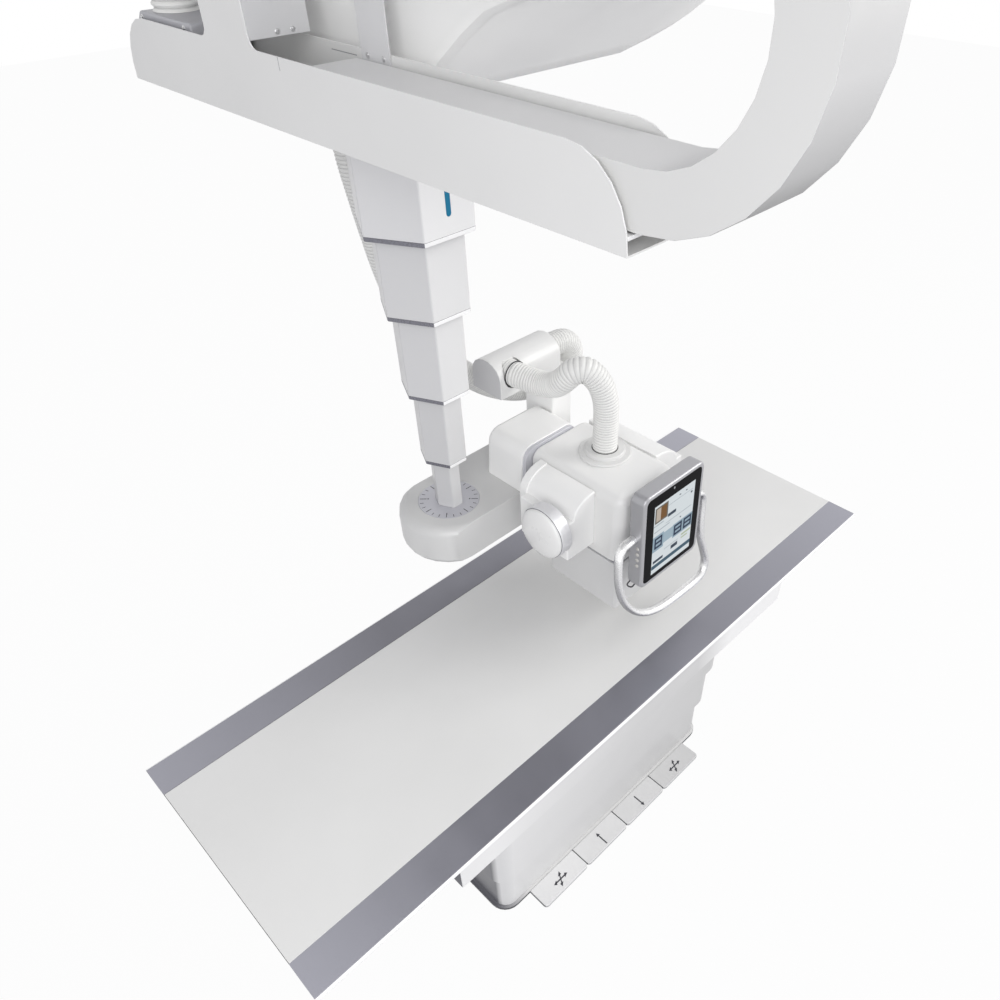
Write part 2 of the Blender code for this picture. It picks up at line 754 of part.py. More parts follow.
def build_bridge():
    rail_low = CEILING_Z - RAIL_H
    lip_top = rail_low + RAIL_WALL
    neck = RAIL_SLOT_HALF - GAP
    shoe = RAIL_HALF_W - RAIL_WALL - SHOE_CLEAR
    shoe_top = lip_top + GAP + SHOE_H
    truck_low = BEAM_HIGH + GAP
    for name, y in (("end_truck_front", RAIL_FRONT_Y), ("end_truck_rear", RAIL_REAR_Y)):
        section = [
            (-TRUCK_HALF_W, truck_low),
            (TRUCK_HALF_W, truck_low),
            (TRUCK_HALF_W, rail_low - GAP),
            (neck, rail_low - GAP),
            (neck, lip_top + GAP),
            (shoe, lip_top + GAP),
            (shoe, shoe_top),
            (-shoe, shoe_top),
            (-shoe, lip_top + GAP),
            (-neck, lip_top + GAP),
            (-neck, rail_low - GAP),
            (-TRUCK_HALF_W, rail_low - GAP),
        ]
        outline = [(y + a, z) for a, z in section]
        prism(name, outline, "X", *TRUCK_X, paint(name), origin=(0, y, truck_low))
    ends = (RAIL_FRONT_Y - TRUCK_HALF_W, RAIL_REAR_Y + TRUCK_HALF_W)
    low, high = BEAM_Z
    inside_low, inside_high = low + BEAM_WALL, high - BEAM_WALL
    x0, x1 = BEAM_LEFT_X
    left = [
        (x0, low),
        (x1, low),
        (x1, inside_low),
        (x0 + BEAM_WALL, inside_low),
        (x0 + BEAM_WALL, inside_high),
        (x1, inside_high),
        (x1, high),
        (x0, high),
    ]
    x0, x1 = BEAM_RIGHT_X
    right = [
        (x1, high),
        (x0, high),
        (x0, inside_high),
        (x1 - BEAM_WALL, inside_high),
        (x1 - BEAM_WALL, inside_low),
        (x0, inside_low),
        (x0, low),
        (x1, low),
    ]
    for name, section in (("bridge_beam_left", left), ("bridge_beam_right", right)):
        prism(name, section, "Y", *ends, material(name, (0.70, 0.70, 0.70), 0.4, 0.5))


def build_trough():
    """Folded sheet tray with round-nosed walls, and the hanger that rises from its outer wall."""
    (x0, x1), (y0, y1), (low, high) = TROUGH_X, TROUGH_Y, TROUGH_Z
    steel = paint("cable_trough")
    outline = [(y1, low), (y0, low)]
    rise = high - low
    for i in range(1, ARC_LARGE + 1):
        angle = math.pi / 2 * i / ARC_LARGE
        outline.append((y0 + TROUGH_NOSE * (1 - math.cos(angle)), low + rise * math.sin(angle)))
    for i in range(ARC_LARGE):
        angle = math.pi / 2 * i / ARC_LARGE
        outline.append((y1 - TROUGH_NOSE * (1 - math.sin(angle)), low + rise * math.cos(angle)))
    trough = prism("cable_trough", outline, "X", x0, x1, steel)
    inside = box_outline(x0 + SHEET_T, x1 - SHEET_T, low + SHEET_T, high + OVERRUN)
    cut(trough, prism("cutter_trough", inside, "Y", y0 - OVERRUN, y1 + OVERRUN, steel))
    top = BEAM_LOW - GAP
    h0, h1 = HANGER_Y
    r = HANGER_FOOT_R
    hanger = [(h1 + r, high - HANGER_LAP), (h0 - r, high - HANGER_LAP)]
    hanger += arc((h0 - r, high + r), r, 270, 360, ARC_SMALL)
    hanger += [(h0, top), (h1, top)]
    hanger += arc((h1 + r, high + r), r, 180, 270, ARC_SMALL)
    join(trough, prism("joined_hanger", hanger, "X", x0, x0 + SHEET_T, steel))


def build_hangers():
    x0, x1 = TROUGH_X
    inside = (x0 + SHEET_T + GAP, x1 - SHEET_T - GAP)
    top = BEAM_LOW - GAP
    plate = box_outline(inside[0], CROSS_PLATE_X1, TROUGH_TOP + CROSS_PLATE_RISE, top)
    y = HANGER_Y[0]
    prism("trough_cross_plate", plate, "Y", y, y + SHEET_T, paint("trough_cross_plate"))
    strap = box_outline(*STRAP_Y, TROUGH_TOP - STRAP_LAP, top)
    strap_x = (inside[1] - SHEET_T, inside[1])
    prism("trough_strap", strap, "X", *strap_x, paint("trough_strap"))


def build_chain():
    """Energy chain: a C loop of straight links, lying in the trough and returning above it."""
    centre = (CHAIN_CENTRE_Y, CHAIN_CENTRE_Z)
    outer = arc(centre, CHAIN_OUTER_R, 270, 90, CHAIN_LINKS)
    inner = arc(centre, CHAIN_INNER_R, 90, 270, CHAIN_LINKS)
    bottom = CHAIN_CENTRE_Z - CHAIN_OUTER_R
    floor = CHAIN_CENTRE_Z - CHAIN_INNER_R
    outline = [(CHAIN_LOWER_END, bottom)] + outer
    outline += [(CHAIN_UPPER_END, CHAIN_CENTRE_Z + reach) for reach in (CHAIN_OUTER_R, CHAIN_INNER_R)]
    outline += inner + [(CHAIN_LOWER_END, floor)]
    plastic = material("energy_chain", (0.78, 0.78, 0.77), 0.5)
    prism("energy_chain", outline, "X", *CHAIN_X, plastic)


def build_supply_hose():
    """Clamp block on the trough's floor, and the supply hose that rises from it to the left beam."""
    x = sum(TROUGH_X) / 2
    y0, y1 = CLAMP_Y
    low, high = TROUGH_Z[0] + SHEET_T + GAP, TROUGH_TOP + CLAMP_RISE
    chamfer = CLAMP_CHAMFER
    profile = [(y0, low), (y1, low), (y1, high - chamfer), (y1 - chamfer, high), (y0, high)]
    grey = material("supply_clamp", (0.52, 0.52, 0.55), 0.45, 0.4)
    prism("supply_clamp", profile, "X", *CHAIN_X, grey, CLAMP_EDGE_R, 1)
    start_y = y1 - chamfer - SUPPLY_R
    start_z = high + GAP
    climb = BEAM_LOW - GAP - start_z
    # How far along the shift towards -Y and along the climb each point lies.
    shares = (
        (0.00, 0.00),
        (0.00, 0.08),
        (0.00, 0.16),
        (0.09, 0.32),
        (0.45, 0.50),
        (0.90, 0.66),
        (1.00, 0.78),
        (1.00, 0.88),
        (1.00, 1.00),
    )
    route = [(x, start_y - SUPPLY_SHIFT * across, start_z + climb * up) for across, up in shares]
    tint = material("supply_hose", (0.86, 0.86, 0.84), 0.5)
    tube_along("supply_hose", route, SUPPLY_R, tint, SUPPLY_STEP, 3)



# Carriage, column and arm.


def build_carriage():
    low, high = BEAM_Z
    shoe_low, shoe_high = low + BEAM_WALL + GAP, high - BEAM_WALL - GAP
    left, right = BEAM_LEFT_X[0] + BEAM_WALL + GAP, BEAM_RIGHT_X[1] - BEAM_WALL - GAP
    left_in, right_in = BEAM_LEFT_X[1] + SHOE_LIP, BEAM_RIGHT_X[0] - SHOE_LIP
    web_left, web_right = COLUMN_X - CARRIAGE_WEB_HALF, COLUMN_X + CARRIAGE_WEB_HALF
    middle = (low + high) / 2
    plate_low, plate_high = middle - CARRIAGE_PLATE_T / 2, middle + CARRIAGE_PLATE_T / 2
    flange = (POD_X[0], POD_FLAT_X + CARRIAGE_FLANGE_REACH)
    top = CARRIAGE_FLANGE_Z + CARRIAGE_FLANGE_T
    section = [
        (left, shoe_low),
        (left_in, shoe_low),
        (left_in, plate_low),
        (web_left, plate_low),
        (web_left, top),
        (flange[0], top),
        (flange[0], CARRIAGE_FLANGE_Z),
        (flange[1], CARRIAGE_FLANGE_Z),
        (flange[1], top),
        (web_right, top),
        (web_right, plate_low),
        (right_in, plate_low),
        (right_in, shoe_low),
        (right, shoe_low),
        (right, shoe_high),
        (right_in, shoe_high),
        (right_in, plate_high),
        (left_in, plate_high),
        (left_in, shoe_high),
        (left, shoe_high),
    ]
    steel = material("carriage_frame", (0.45, 0.46, 0.48), 0.4, 0.7)
    frame = prism("carriage_frame", section, "Y", *CARRIAGE_Y, steel)
    root = flange[0] + BRACKET_ROOT
    near = CHAIN_UPPER_END + GAP
    tip, edge = CHAIN_X[0] + BRACKET_CLEAR, flange[0] + BRACKET_CLEAR / 2
    tongue = [
        (tip, near),
        (root, near),
        (root, CARRIAGE_Y[0] + BRACKET_LAP),
        (edge, CARRIAGE_Y[0] + BRACKET_LAP),
        (edge, near + BRACKET_W),
        (tip, near + BRACKET_W),
    ]
    low = CARRIAGE_FLANGE_Z + (CARRIAGE_FLANGE_T - BRACKET_T) / 2
    join(frame, prism("joined_chain_tongue", tongue, "Z", low, low + BRACKET_T, steel))


def pod_inside():
    """Side view of the hollow in the carriage cover, a wall's width inside its floor and nose."""
    low, top = POD_BOTTOM + POD_WALL, CARRIAGE_FLANGE_Z + OVERRUN
    back = POD_BACK_Y - POD_WALL
    rising = [(y + POD_WALL, low + rise) for y, rise in POD_NOSE[:-1]]
    return [(back, low)] + rising + [(POD_NOSE[-1][0] + 2 * POD_WALL, top), (back, top)]


def build_pod():
    """Carriage cover: its floor rises to a nose at -Y and to a tip at +X, with a rounded lower edge at -X."""
    top = CARRIAGE_FLANGE_Z - GAP
    rows = [(POD_BACK_Y, 0.0)] + list(POD_NOSE)
    bm = bmesh.new()
    floor, roof = [], []
    for x, lift in POD_SWEEP:
        heights = [min(POD_BOTTOM + lift + rise, top - POD_RIM) for y, rise in rows]
        floor.append([bm.verts.new((x, y, z)) for (y, rise), z in zip(rows, heights)])
        roof.append([bm.verts.new((x, y, top)) for y, rise in rows])
    last_x, last_y = len(POD_SWEEP) - 1, len(rows) - 1
    for i in range(last_x):
        for j in range(last_y):
            for sheet in (floor, roof):
                bm.faces.new((sheet[i][j], sheet[i + 1][j], sheet[i + 1][j + 1], sheet[i][j + 1]))
        for j in (0, last_y):
            bm.faces.new((floor[i][j], floor[i + 1][j], roof[i + 1][j], roof[i][j]))
    for j in range(last_y):
        for i in (0, last_x):
            bm.faces.new((floor[i][j], floor[i][j + 1], roof[i][j + 1], roof[i][j]))
    mat = paint("pod_cover")
    pod = finish(bm, "pod_cover", mat, crease=40.0)
    inside = (POD_X[0] + POD_WALL, POD_FLAT_X + POD_HOLLOW_REACH)
    cut(pod, prism("cutter_pod_inside", pod_inside(), "X", *inside, mat))
    hole = (POD_BOTTOM - OVERRUN, POD_BOTTOM + POD_WALL + OVERRUN)
    cut(pod, prism("cutter_pod_hole", stage_outline(0, POD_HOLE_CLEAR), "Z", *hole, mat))



def build_column():
    last = len(STAGE_HALF_FLATS) - 1
    inner_r = STAGE_EDGE_R / 2
    for number in range(last):
        low, high = STAGE_BOTTOMS[number], STAGE_TOPS[number]
        name = "column_stage_%d" % (number + 1)
        origin = (COLUMN_X, COLUMN_Y, low)
        wall = stage_outline(number, -STAGE_WALL, inner_r)
        stage = ring_prism(name, stage_outline(number), wall, low, high, paint(name), origin)
        if number == 0:
            build_lens(stage)
        seal_name = "column_seal_%d" % (number + 1)
        seal = material(seal_name, (0.22, 0.22, 0.25), 0.3, 0.6)
        opening = stage_outline(number + 1, GAP, inner_r)
        ring_prism(seal_name, stage_outline(number), opening, low - GAP - SEAL_H, low - GAP, seal, origin)
    low = BORE_FLOOR + GAP
    wall = stage_outline(last, -STAGE_WALL, inner_r)
    name = "column_stage_5"
    origin = (COLUMN_X, COLUMN_Y, low)
    ring_prism(name, stage_outline(last), wall, low, STAGE_TOPS[last], paint(name), origin)


def build_lens(stage):
    """Vertical light slot in the first stage's -Y face."""
    face = COLUMN_Y - STAGE_HALF_FLATS[0]
    z0, z1 = (STAGE_BOTTOMS[0] + rise for rise in LENS_RISE)

    def slot(half):
        low = arc((COLUMN_X, z0 + LENS_HALF_W), half, 180, 360, ARC_LARGE)
        return low + arc((COLUMN_X, z1 - LENS_HALF_W), half, 0, 180, ARC_LARGE)

    hole = (face - OVERRUN, face + STAGE_WALL + OVERRUN)
    cut(stage, prism("cutter_lens", slot(LENS_HALF_W + GAP), "Y", *hole, stage.data.materials[0]))
    blue = material("indicator_lens", (0.02, 0.16, 0.30), 0.3)
    prism("indicator_lens", slot(LENS_HALF_W), "Y", face - LENS_PROUD, face + LENS_DEPTH, blue)


def build_dial():
    grey = material("rotation_dial", (0.56, 0.56, 0.61), 0.45, 0.2)
    low = ARM_TOP - DIAL_T
    centre = (COLUMN_X, COLUMN_Y)
    dial = disc("rotation_dial", DIAL_R, low, ARM_TOP, "Z", centre, grey, DIAL_STEPS, arm_origin())
    opening = stage_outline(len(STAGE_REACHES) - 1, GAP, STAGE_EDGE_R / 2)
    cut(dial, prism("cutter_dial_hole", opening, "Z", low - OVERRUN, ARM_TOP + OVERRUN, grey))


def arm_origin():
    return (COLUMN_X, COLUMN_Y, ARM_TOP)


def build_arm():
    front, back = COLUMN_Y - ARM_HALF_Y, COLUMN_Y + ARM_HALF_Y
    outline = arc((COLUMN_X, COLUMN_Y), ARM_END_R, 90, 270, 2 * ARC_LARGE)
    end = ARM_END_X
    r = ARM_CORNER_R
    outline += arc((end - r, COLUMN_Y - ARM_END_R + r), r, 270, 360, ARC_SMALL)
    outline += arc((end - r, COLUMN_Y + ARM_END_R - r), r, 0, 90, ARC_SMALL)
    bm = prism_bmesh(outline, "Z", ARM_BOTTOM, ARM_TOP)
    round_edges(bm, ARM_FILLET, 4, cap_edge(2, ARM_TOP))
    round_edges(bm, ARM_LOWER_FILLET, 2, cap_edge(2, ARM_BOTTOM))
    for y, normal in ((front, (0, -1, 0)), (back, (0, 1, 0))):
        faces = bm.verts[:] + bm.edges[:] + bm.faces[:]
        result = bmesh.ops.bisect_plane(bm, geom=faces, plane_co=(0, y, 0), plane_no=normal, clear_outer=True)
        rim = [e for e in result["geom_cut"] if isinstance(e, bmesh.types.BMEdge)]
        bmesh.ops.contextual_create(bm, geom=rim)
    arm = finish(bm, "arm_housing", paint("arm_housing"), arm_origin(), crease=40.0)
    mat, centre, above = arm.data.materials[0], (COLUMN_X, COLUMN_Y), ARM_TOP + OVERRUN
    seat_low = ARM_TOP - DIAL_T - GAP
    cut(arm, disc("cutter_dial_seat", DIAL_R + GAP, seat_low, above, "Z", centre, mat, DIAL_STEPS))
    cut(arm, disc("cutter_bore", BORE_R, BORE_FLOOR, ARM_TOP, "Z", centre, mat))


def build_riser():
    front = COLUMN_Y - ARM_HALF_Y
    x0, x1 = RISER_X
    low = ARM_TOP + GAP
    right, left = RISER_FILLET, RISER_LEFT_FILLET
    outline = [(x0 - RISER_LEAN, low), (x1, low)]
    outline += arc((x1 - right, RISER_TOP - right), right, 0, 90, 4)
    outline += arc((x0 + left, RISER_TOP - left), left, 90, 180, 4)
    bm = prism_bmesh(outline, "Y", front, RISER_BACK_Y)
    on_back = cap_edge(1, RISER_BACK_Y)
    on_foot = cap_edge(2, low)
    round_edges(bm, RISER_BACK_FILLET, 2, lambda edge: on_back(edge) and not on_foot(edge))
    finish(bm, "riser_housing", paint("riser_housing"), arm_origin())
    grey = material("head_flange", (0.55, 0.55, 0.58), 0.5, 0.2)
    plate_front = front - GAP - FLANGE_T
    inset = FLANGE_INSET
    plate_low, plate_right = ARM_BOTTOM + FLANGE_RISE, HEAD_X[1] - FLANGE_HIDDEN_X
    shoulder = HEAD_Z[1] - FLANGE_HIDDEN_Z
    plate = [(x0 - RISER_LEAN + inset, plate_low), (plate_right, plate_low)]
    plate += [(plate_right, shoulder), (x1, shoulder)]
    plate += arc((x1 - right, RISER_TOP - right), right - inset, 0, 90, 4)
    plate += arc((x0 + left, RISER_TOP - left), left - inset, 90, 180, 4)
    bm = prism_bmesh(plate, "Y", plate_front, front - GAP)
    axis = (HEAD_AXIS_X, HEAD_AXIS_Z)
    flange = finish(bm, "head_flange", grey, (HEAD_AXIS_X, front, HEAD_AXIS_Z))
    through = (plate_front - OVERRUN, front + OVERRUN)
    cut(flange, disc("cutter_bearing", BEARING_R + GAP, *through, "Y", axis, grey))
    steel = material("head_bearing", (0.5, 0.5, 0.52), 0.3, 0.9)
    place = (HEAD_AXIS_X, plate_front, HEAD_AXIS_Z)
    disc("head_bearing", BEARING_R, plate_front, front - 2 * GAP, "Y", axis, steel, DISC_STEPS, place)



def build_tunnel():
    post = box_outline(*POST_X, *POST_Y)
    span = (ARM_TOP + GAP, TUNNEL_Z[0] - GAP)
    prism("hose_post", post, "Z", *span, paint("hose_post"), SMALL_EDGE_R, 1, arm_origin())
    y0, y1 = TUNNEL_Y
    z0, z1 = TUNNEL_Z
    side = z0 + TUNNEL_SIDE_H
    outline = [(y0, z0), (y1, z0), (y1, side)]
    half = (y1 - y0) / 2
    for i in range(1, TUNNEL_ROOF_SIDES):
        angle = math.pi * i / TUNNEL_ROOF_SIDES
        outline.append(((y0 + y1) / 2 + half * math.cos(angle), side + (z1 - side) * math.sin(angle)))
    outline.append((y0, side))
    bm = prism_bmesh(outline, "X", *TUNNEL_X)
    round_edges(bm, TUNNEL_EDGE_R, 2, sharp)
    tunnel = finish(bm, "hose_tunnel", paint("hose_tunnel"), arm_origin(), crease=45.0)
    mat = tunnel.data.materials[0]
    bore = (HOSE_R + BORE_CLEAR, TUNNEL_FLOOR_X, TUNNEL_X[1] + OVERRUN)
    cut(tunnel, disc("cutter_tunnel", *bore, "X", ((y0 + y1) / 2, z0 + TUNNEL_BORE_H), mat, BORE_STEPS))
    hole = (HOSE_R + SIDE_HOLE_CLEAR, y0 - OVERRUN, SIDE_HOLE_FLOOR_Y)
    cut(tunnel, disc("cutter_side", *hole, "Y", (SIDE_HOLE_X, SIDE_HOLE_Z), mat, BORE_STEPS))



# Tube head, collimator and display.


def head_origin():
    return (HEAD_AXIS_X, COLUMN_Y - ARM_HALF_Y - GAP, HEAD_AXIS_Z)


def head_back():
    return COLUMN_Y - ARM_HALF_Y - FLANGE_T - 2 * GAP


def build_head():
    mat = paint("head_housing")
    bm = prism_bmesh(box_outline(*HEAD_X, HEAD_FRONT_Y, head_back()), "Z", *HEAD_Z)
    back = head_back()

    def lies_in(edge, index, value):
        return all(abs(v.co[index] - value) < SAME for v in edge.verts)

    def on_bottom(edge):
        return lies_in(edge, 2, HEAD_Z[0])

    round_edges(bm, HEAD_FILLET, 4, lambda e: not on_bottom(e) and not lies_in(e, 1, back))
    round_edges(bm, HEAD_BACK_FILLET, 2, lambda e: lies_in(e, 1, back) and sharp(e) and not on_bottom(e))
    finish(bm, "head_housing", mat, head_origin(), crease=50.0)
    build_shroud("tube_shroud_left", HEAD_X[0] - GAP, SHROUD_LEFT_X, SHROUD_LEFT_Y, SHROUD_LEFT_Z)
    build_shroud("tube_shroud_right", HEAD_X[1] + GAP, SHROUD_RIGHT_X, SHROUD_RIGHT_Y, SHROUD_RIGHT_Z)
    ring_low = SHROUD_LEFT_X - GAP
    chrome = material("tube_cap_ring", (0.75, 0.75, 0.77), 0.15, 1.0)
    small = CAP_EDGE_R
    ring = [
        (0, ring_low),
        (CAP_RING_R - small, ring_low),
        (CAP_RING_R, ring_low - small),
        (CAP_RING_R, CAP_RING_X + small),
        (CAP_RING_R - small, CAP_RING_X),
        (0, CAP_RING_X),
    ]
    lathe("tube_cap_ring", ring, "X", (TUBE_Y, TUBE_Z), chrome, 40, head_origin())
    low = CAP_RING_X - GAP
    rim = CAP_FACE_R
    dome = [(0, low), (rim, low), (rim, low - CAP_RIM_H)]
    for i in range(1, 5):
        angle = math.pi / 2 * i / 5
        dome.append((rim * math.cos(angle), low - CAP_RIM_H - CAP_DOME * math.sin(angle)))
    dome.append((0, low - CAP_RIM_H - CAP_DOME))
    lathe("tube_cap", dome, "X", (TUBE_Y, TUBE_Z), paint("tube_cap"), 40, head_origin())
    low = HEAD_Z[1] + GAP
    bore = HOSE_R + GLAND_CLEAR
    small = GLAND_EDGE_R
    gland = [
        (0, low),
        (GLAND_R, low),
        (GLAND_R, low + GLAND_BASE_H - small),
        (GLAND_R - small, low + GLAND_BASE_H),
        (GLAND_NECK_R, low + GLAND_BASE_H),
        (GLAND_NECK_R, low + GLAND_NECK_H - small),
        (GLAND_NECK_R - small, low + GLAND_NECK_H),
        (bore, low + GLAND_NECK_H),
        (bore, low + GLAND_FLOOR_H),
        (0, low + GLAND_FLOOR_H),
    ]
    lathe("hose_gland", gland, "Z", (GLAND_X, GLAND_Y), paint("hose_gland"), 40, head_origin())


def shroud_profile(inner, outer, span_z, grow, boxed):
    """Front view of a tube shroud: a shoulder rolling down to a face, with a box standing out below."""
    z0, z1 = span_z
    side = math.copysign(1.0, outer - inner)
    face = outer - side * (SHROUD_LEDGE - grow)
    shoulder = SHROUD_LEDGE_Z
    outline = [(inner, z0)]
    if boxed:
        outline += [(outer, z0), (outer, shoulder - SHROUD_LIP)]
        outline += [(outer - side * SHROUD_LIP, shoulder), (face, shoulder)]
    else:
        outline += [(face, z0), (face, shoulder)]
    width, height = abs(face - inner), z1 + grow - shoulder
    for i in range(1, ARC_LARGE):
        angle = math.pi / 2 * i / ARC_LARGE
        outline.append((inner + side * width * math.cos(angle), shoulder + height * math.sin(angle)))
    outline.append((inner, z1 + grow))
    return outline


def build_shroud(name, inner, outer, span_y, span_z):
    """End of the X-ray tube's casing beside the head, with a collar round its back edge."""
    front, back = span_y
    bm = prism_bmesh(shroud_profile(inner, outer, span_z, 0.0, True), "Y", front, back)

    def on_front(edge):
        in_front = all(abs(v.co.y - front) < SAME for v in edge.verts)
        beside_head = all(abs(v.co.x - inner) < SAME for v in edge.verts)
        underneath = all(v.co.z < span_z[0] + SAME for v in edge.verts)
        return sharp(edge) and in_front and not beside_head and not underneath

    round_edges(bm, SHROUD_FRONT_R, 3, on_front)
    shroud = finish(bm, name, paint(name), head_origin(), crease=45.0)
    collar = shroud_profile(inner, outer, span_z, SHROUD_COLLAR, False)
    span = (back - SHROUD_LAP, back + SHROUD_COLLAR_W)
    join(shroud, prism("joined_" + name, collar, "Y", *span, shroud.data.materials[0]))


def build_collimator():
    x0, x1 = HEAD_X
    y0, y1 = HEAD_FRONT_Y, COLLIMATOR_BACK_Y
    grey = material("collimator_collar", (0.42, 0.42, 0.45), 0.5)
    inset = SWIVEL_INSET
    collar = box_outline(x0 + inset, x1 - inset, y0 + inset, y1 - inset)
    prism("collimator_collar", collar, "Z", COLLIMATOR_TOP + GAP, HEAD_Z[0] - GAP, grey, origin=head_origin())
    outline = rounded_rect((x0, y0), (x1, y1), COLLIMATOR_CORNER_R)
    bm = prism_bmesh(outline, "Z", COLLIMATOR_BOTTOM, COLLIMATOR_TOP)
    round_edges(bm, COLLIMATOR_EDGE_R, 2, cap_edge(2, COLLIMATOR_BOTTOM))
    finish(bm, "collimator_housing", paint("collimator_housing"), head_origin())


def display_turn():
    """Leans the display's lower edge out, so that it faces the operator's eyes."""
    pivot = Vector((0.0, DISPLAY_BACK_Y, DISPLAY_Z[1]))
    return Matrix.Translation(pivot) @ Matrix.Rotation(DISPLAY_TILT, 4, "X") @ Matrix.Translation(-pivot)


def build_display():
    back = DISPLAY_BACK_Y
    front = back - DISPLAY_T
    (x0, x1), (z0, z1) = DISPLAY_X, DISPLAY_Z
    alloy = material("display_bezel", (0.72, 0.72, 0.74), 0.3, 0.7)
    turn = display_turn()

    def tilted(bm, name, mat, crease=40.0):
        bmesh.ops.transform(bm, matrix=turn, verts=bm.verts)
        return finish(bm, name, mat, head_origin(), crease=crease)

    bm = prism_bmesh(rounded_rect((x0, z0), (x1, z1), DISPLAY_CORNER_R, 4), "Y", front, back)
    round_edges(bm, DISPLAY_FRONT_EDGE, 1, cap_edge(1, front))
    round_edges(bm, DISPLAY_BACK_EDGE, 2, cap_edge(1, back))
    bezel = tilted(bm, "display_bezel", alloy)

    def glass_outline(grow):
        m = GLASS_MARGIN - grow
        return rounded_rect((x0 + m, z0 + m), (x1 - m, z1 - m), GLASS_CORNER_R + grow, 4)

    pocket = prism_bmesh(glass_outline(GAP), "Y", front - OVERRUN, front + GLASS_T)
    cut(bezel, tilted(pocket, "cutter_glass", alloy))
    glass = material("display_glass", (0.01, 0.01, 0.012), 0.08)
    bm = prism_bmesh(glass_outline(0.0), "Y", front + GLASS_SUNK, front + GLASS_T - GAP)
    tilted(bm, "display_glass", glass)
    block = box_outline(*MOUNT_X, *MOUNT_Z)
    span = (back - MOUNT_LAP, HEAD_FRONT_Y - GAP)
    mount = prism("display_mount", block, "Y", *span, paint("display_mount"), SMALL_EDGE_R, 1, head_origin())
    behind = box_outline(x0 - OVERRUN, x1 + OVERRUN, z0 - OVERRUN, z1 + OVERRUN)
    cut(mount, tilted(prism_bmesh(behind, "Y", front, back + GAP), "cutter_mount", alloy))


def build_handle():
    """Polished oval grab rail that loops below the display, from one side of the bezel to the other."""
    top = HANDLE_LINE[0][1]
    ends = (DISPLAY_X[0] - GAP, top), (DISPLAY_X[1] + GAP, HANDLE_LINE[-1][1])
    line = [ends[0], *HANDLE_LINE, ends[1]]
    route = [(x, HANDLE_TOP_Y - HANDLE_LEAN * (top - z), z) for x, z in line]
    points = smooth_route(route, HANDLE_STEP)
    across = Vector((0.0, 1.0, HANDLE_LEAN)).normalized()
    bm = bmesh.new()
    rings = []
    for i, point in enumerate(points):
        before, after = points[max(i - 1, 0)], points[min(i + 1, len(points) - 1)]
        heading = after - before
        if i in (0, len(points) - 1):
            heading = Vector((1.0, 0.0, 0.0)) * math.copysign(1.0, heading.x)
        side = heading.normalized().cross(across).normalized()
        ring = []
        for step in range(HANDLE_SIDES):
            angle = 2 * math.pi * step / HANDLE_SIDES
            place = point + side * (HANDLE_R * math.cos(angle)) + across * (HANDLE_WIDE_R * math.sin(angle))
            ring.append(bm.verts.new(place))
        rings.append(ring)
    for first, second in zip(rings, rings[1:]):
        for step in range(HANDLE_SIDES):
            after = (step + 1) % HANDLE_SIDES
            bm.faces.new((first[step], first[after], second[after], second[step]))
    bm.faces.new(rings[0][::-1])
    bm.faces.new(rings[-1])
    steel = material("grab_handle", (0.80, 0.80, 0.82), 0.18, 1.0)
    finish(bm, "grab_handle", steel, head_origin(), crease=50.0)


def build_hoses():
    """Corrugated cable hoses, here as plain tubes: ceiling to arm, then arm to head."""
    tint = (0.86, 0.86, 0.84)
    y_mid = sum(TUNNEL_Y) / 2
    z_mid = TUNNEL_Z[0] + TUNNEL_BORE_H
    column = [
        (-0.138, 0.500, POD_BOTTOM - GAP),
        (-0.138, 0.500, 2.160),
        (-0.135, 0.500, 2.070),
        (-0.122, 0.500, 1.980),
        (-0.104, 0.500, 1.878),
        (-0.086, 0.500, 1.790),
        (-0.060, 0.500, 1.700),
        (-0.020, 0.498, 1.606),
        (0.045, 0.492, 1.505),
        (0.120, 0.485, 1.420),
        (0.200, 0.480, 1.350),
        (0.285, 0.474, 1.300),
        (0.355, 0.458, 1.283),
        (0.408, 0.425, 1.305),
        (0.433, 0.388, 1.350),
        (0.436, y_mid + 0.012, 1.400),
        (0.424, y_mid + 0.002, 1.443),
        (0.392, y_mid, 1.473),
        (0.350, y_mid, z_mid + 0.001),
        (0.300, y_mid, z_mid),
        (TUNNEL_FLOOR_X + GAP, y_mid, z_mid),
    ]
    tube_along("hose_column", column, HOSE_R, material("hose_column", tint, 0.5), 0.036, 2)
    gland_floor = HEAD_Z[1] + GAP + GLAND_FLOOR_H + GAP
    head = [
        (SIDE_HOLE_X, SIDE_HOLE_FLOOR_Y - GAP, SIDE_HOLE_Z),
        (SIDE_HOLE_X, SIDE_HOLE_FLOOR_Y - 0.016, SIDE_HOLE_Z),
        (SIDE_HOLE_X, SIDE_HOLE_FLOOR_Y - 0.032, SIDE_HOLE_Z),
        (0.142, 0.262, 1.488),
        (0.151, 0.225, 1.486),
        (0.158, 0.190, 1.488),
        (0.161, 0.150, 1.502),
        (0.158, 0.115, 1.532),
        (0.167, 0.087, 1.563),
        (0.189, 0.061, 1.566),
        (0.213, 0.038, 1.530),
        (0.229, 0.028, 1.472),
        (GLAND_X, GLAND_Y, 1.400),
        (GLAND_X, GLAND_Y, 1.350),
        (GLAND_X, GLAND_Y, gland_floor),
    ]
    tube_along("hose_head", head, HOSE_R, material("hose_head", tint, 0.5), 0.028, 2)


def main():
    clear_scene()
    build_base()
    build_pedals()
    build_tabletop()
    build_ceiling_rails()
    build_bridge()
    build_trough()
    build_hangers()
    build_chain()
    build_supply_hose()
    build_carriage()
    build_pod()
    build_column()
    build_dial()
    build_arm()
    build_riser()
    build_tunnel()
    build_head()
    build_collimator()
    build_display()
    build_handle()
    build_hoses()


main()
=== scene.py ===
"""Looks for the digital radiography system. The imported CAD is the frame, and all rides on its bodies."""
import json
import math

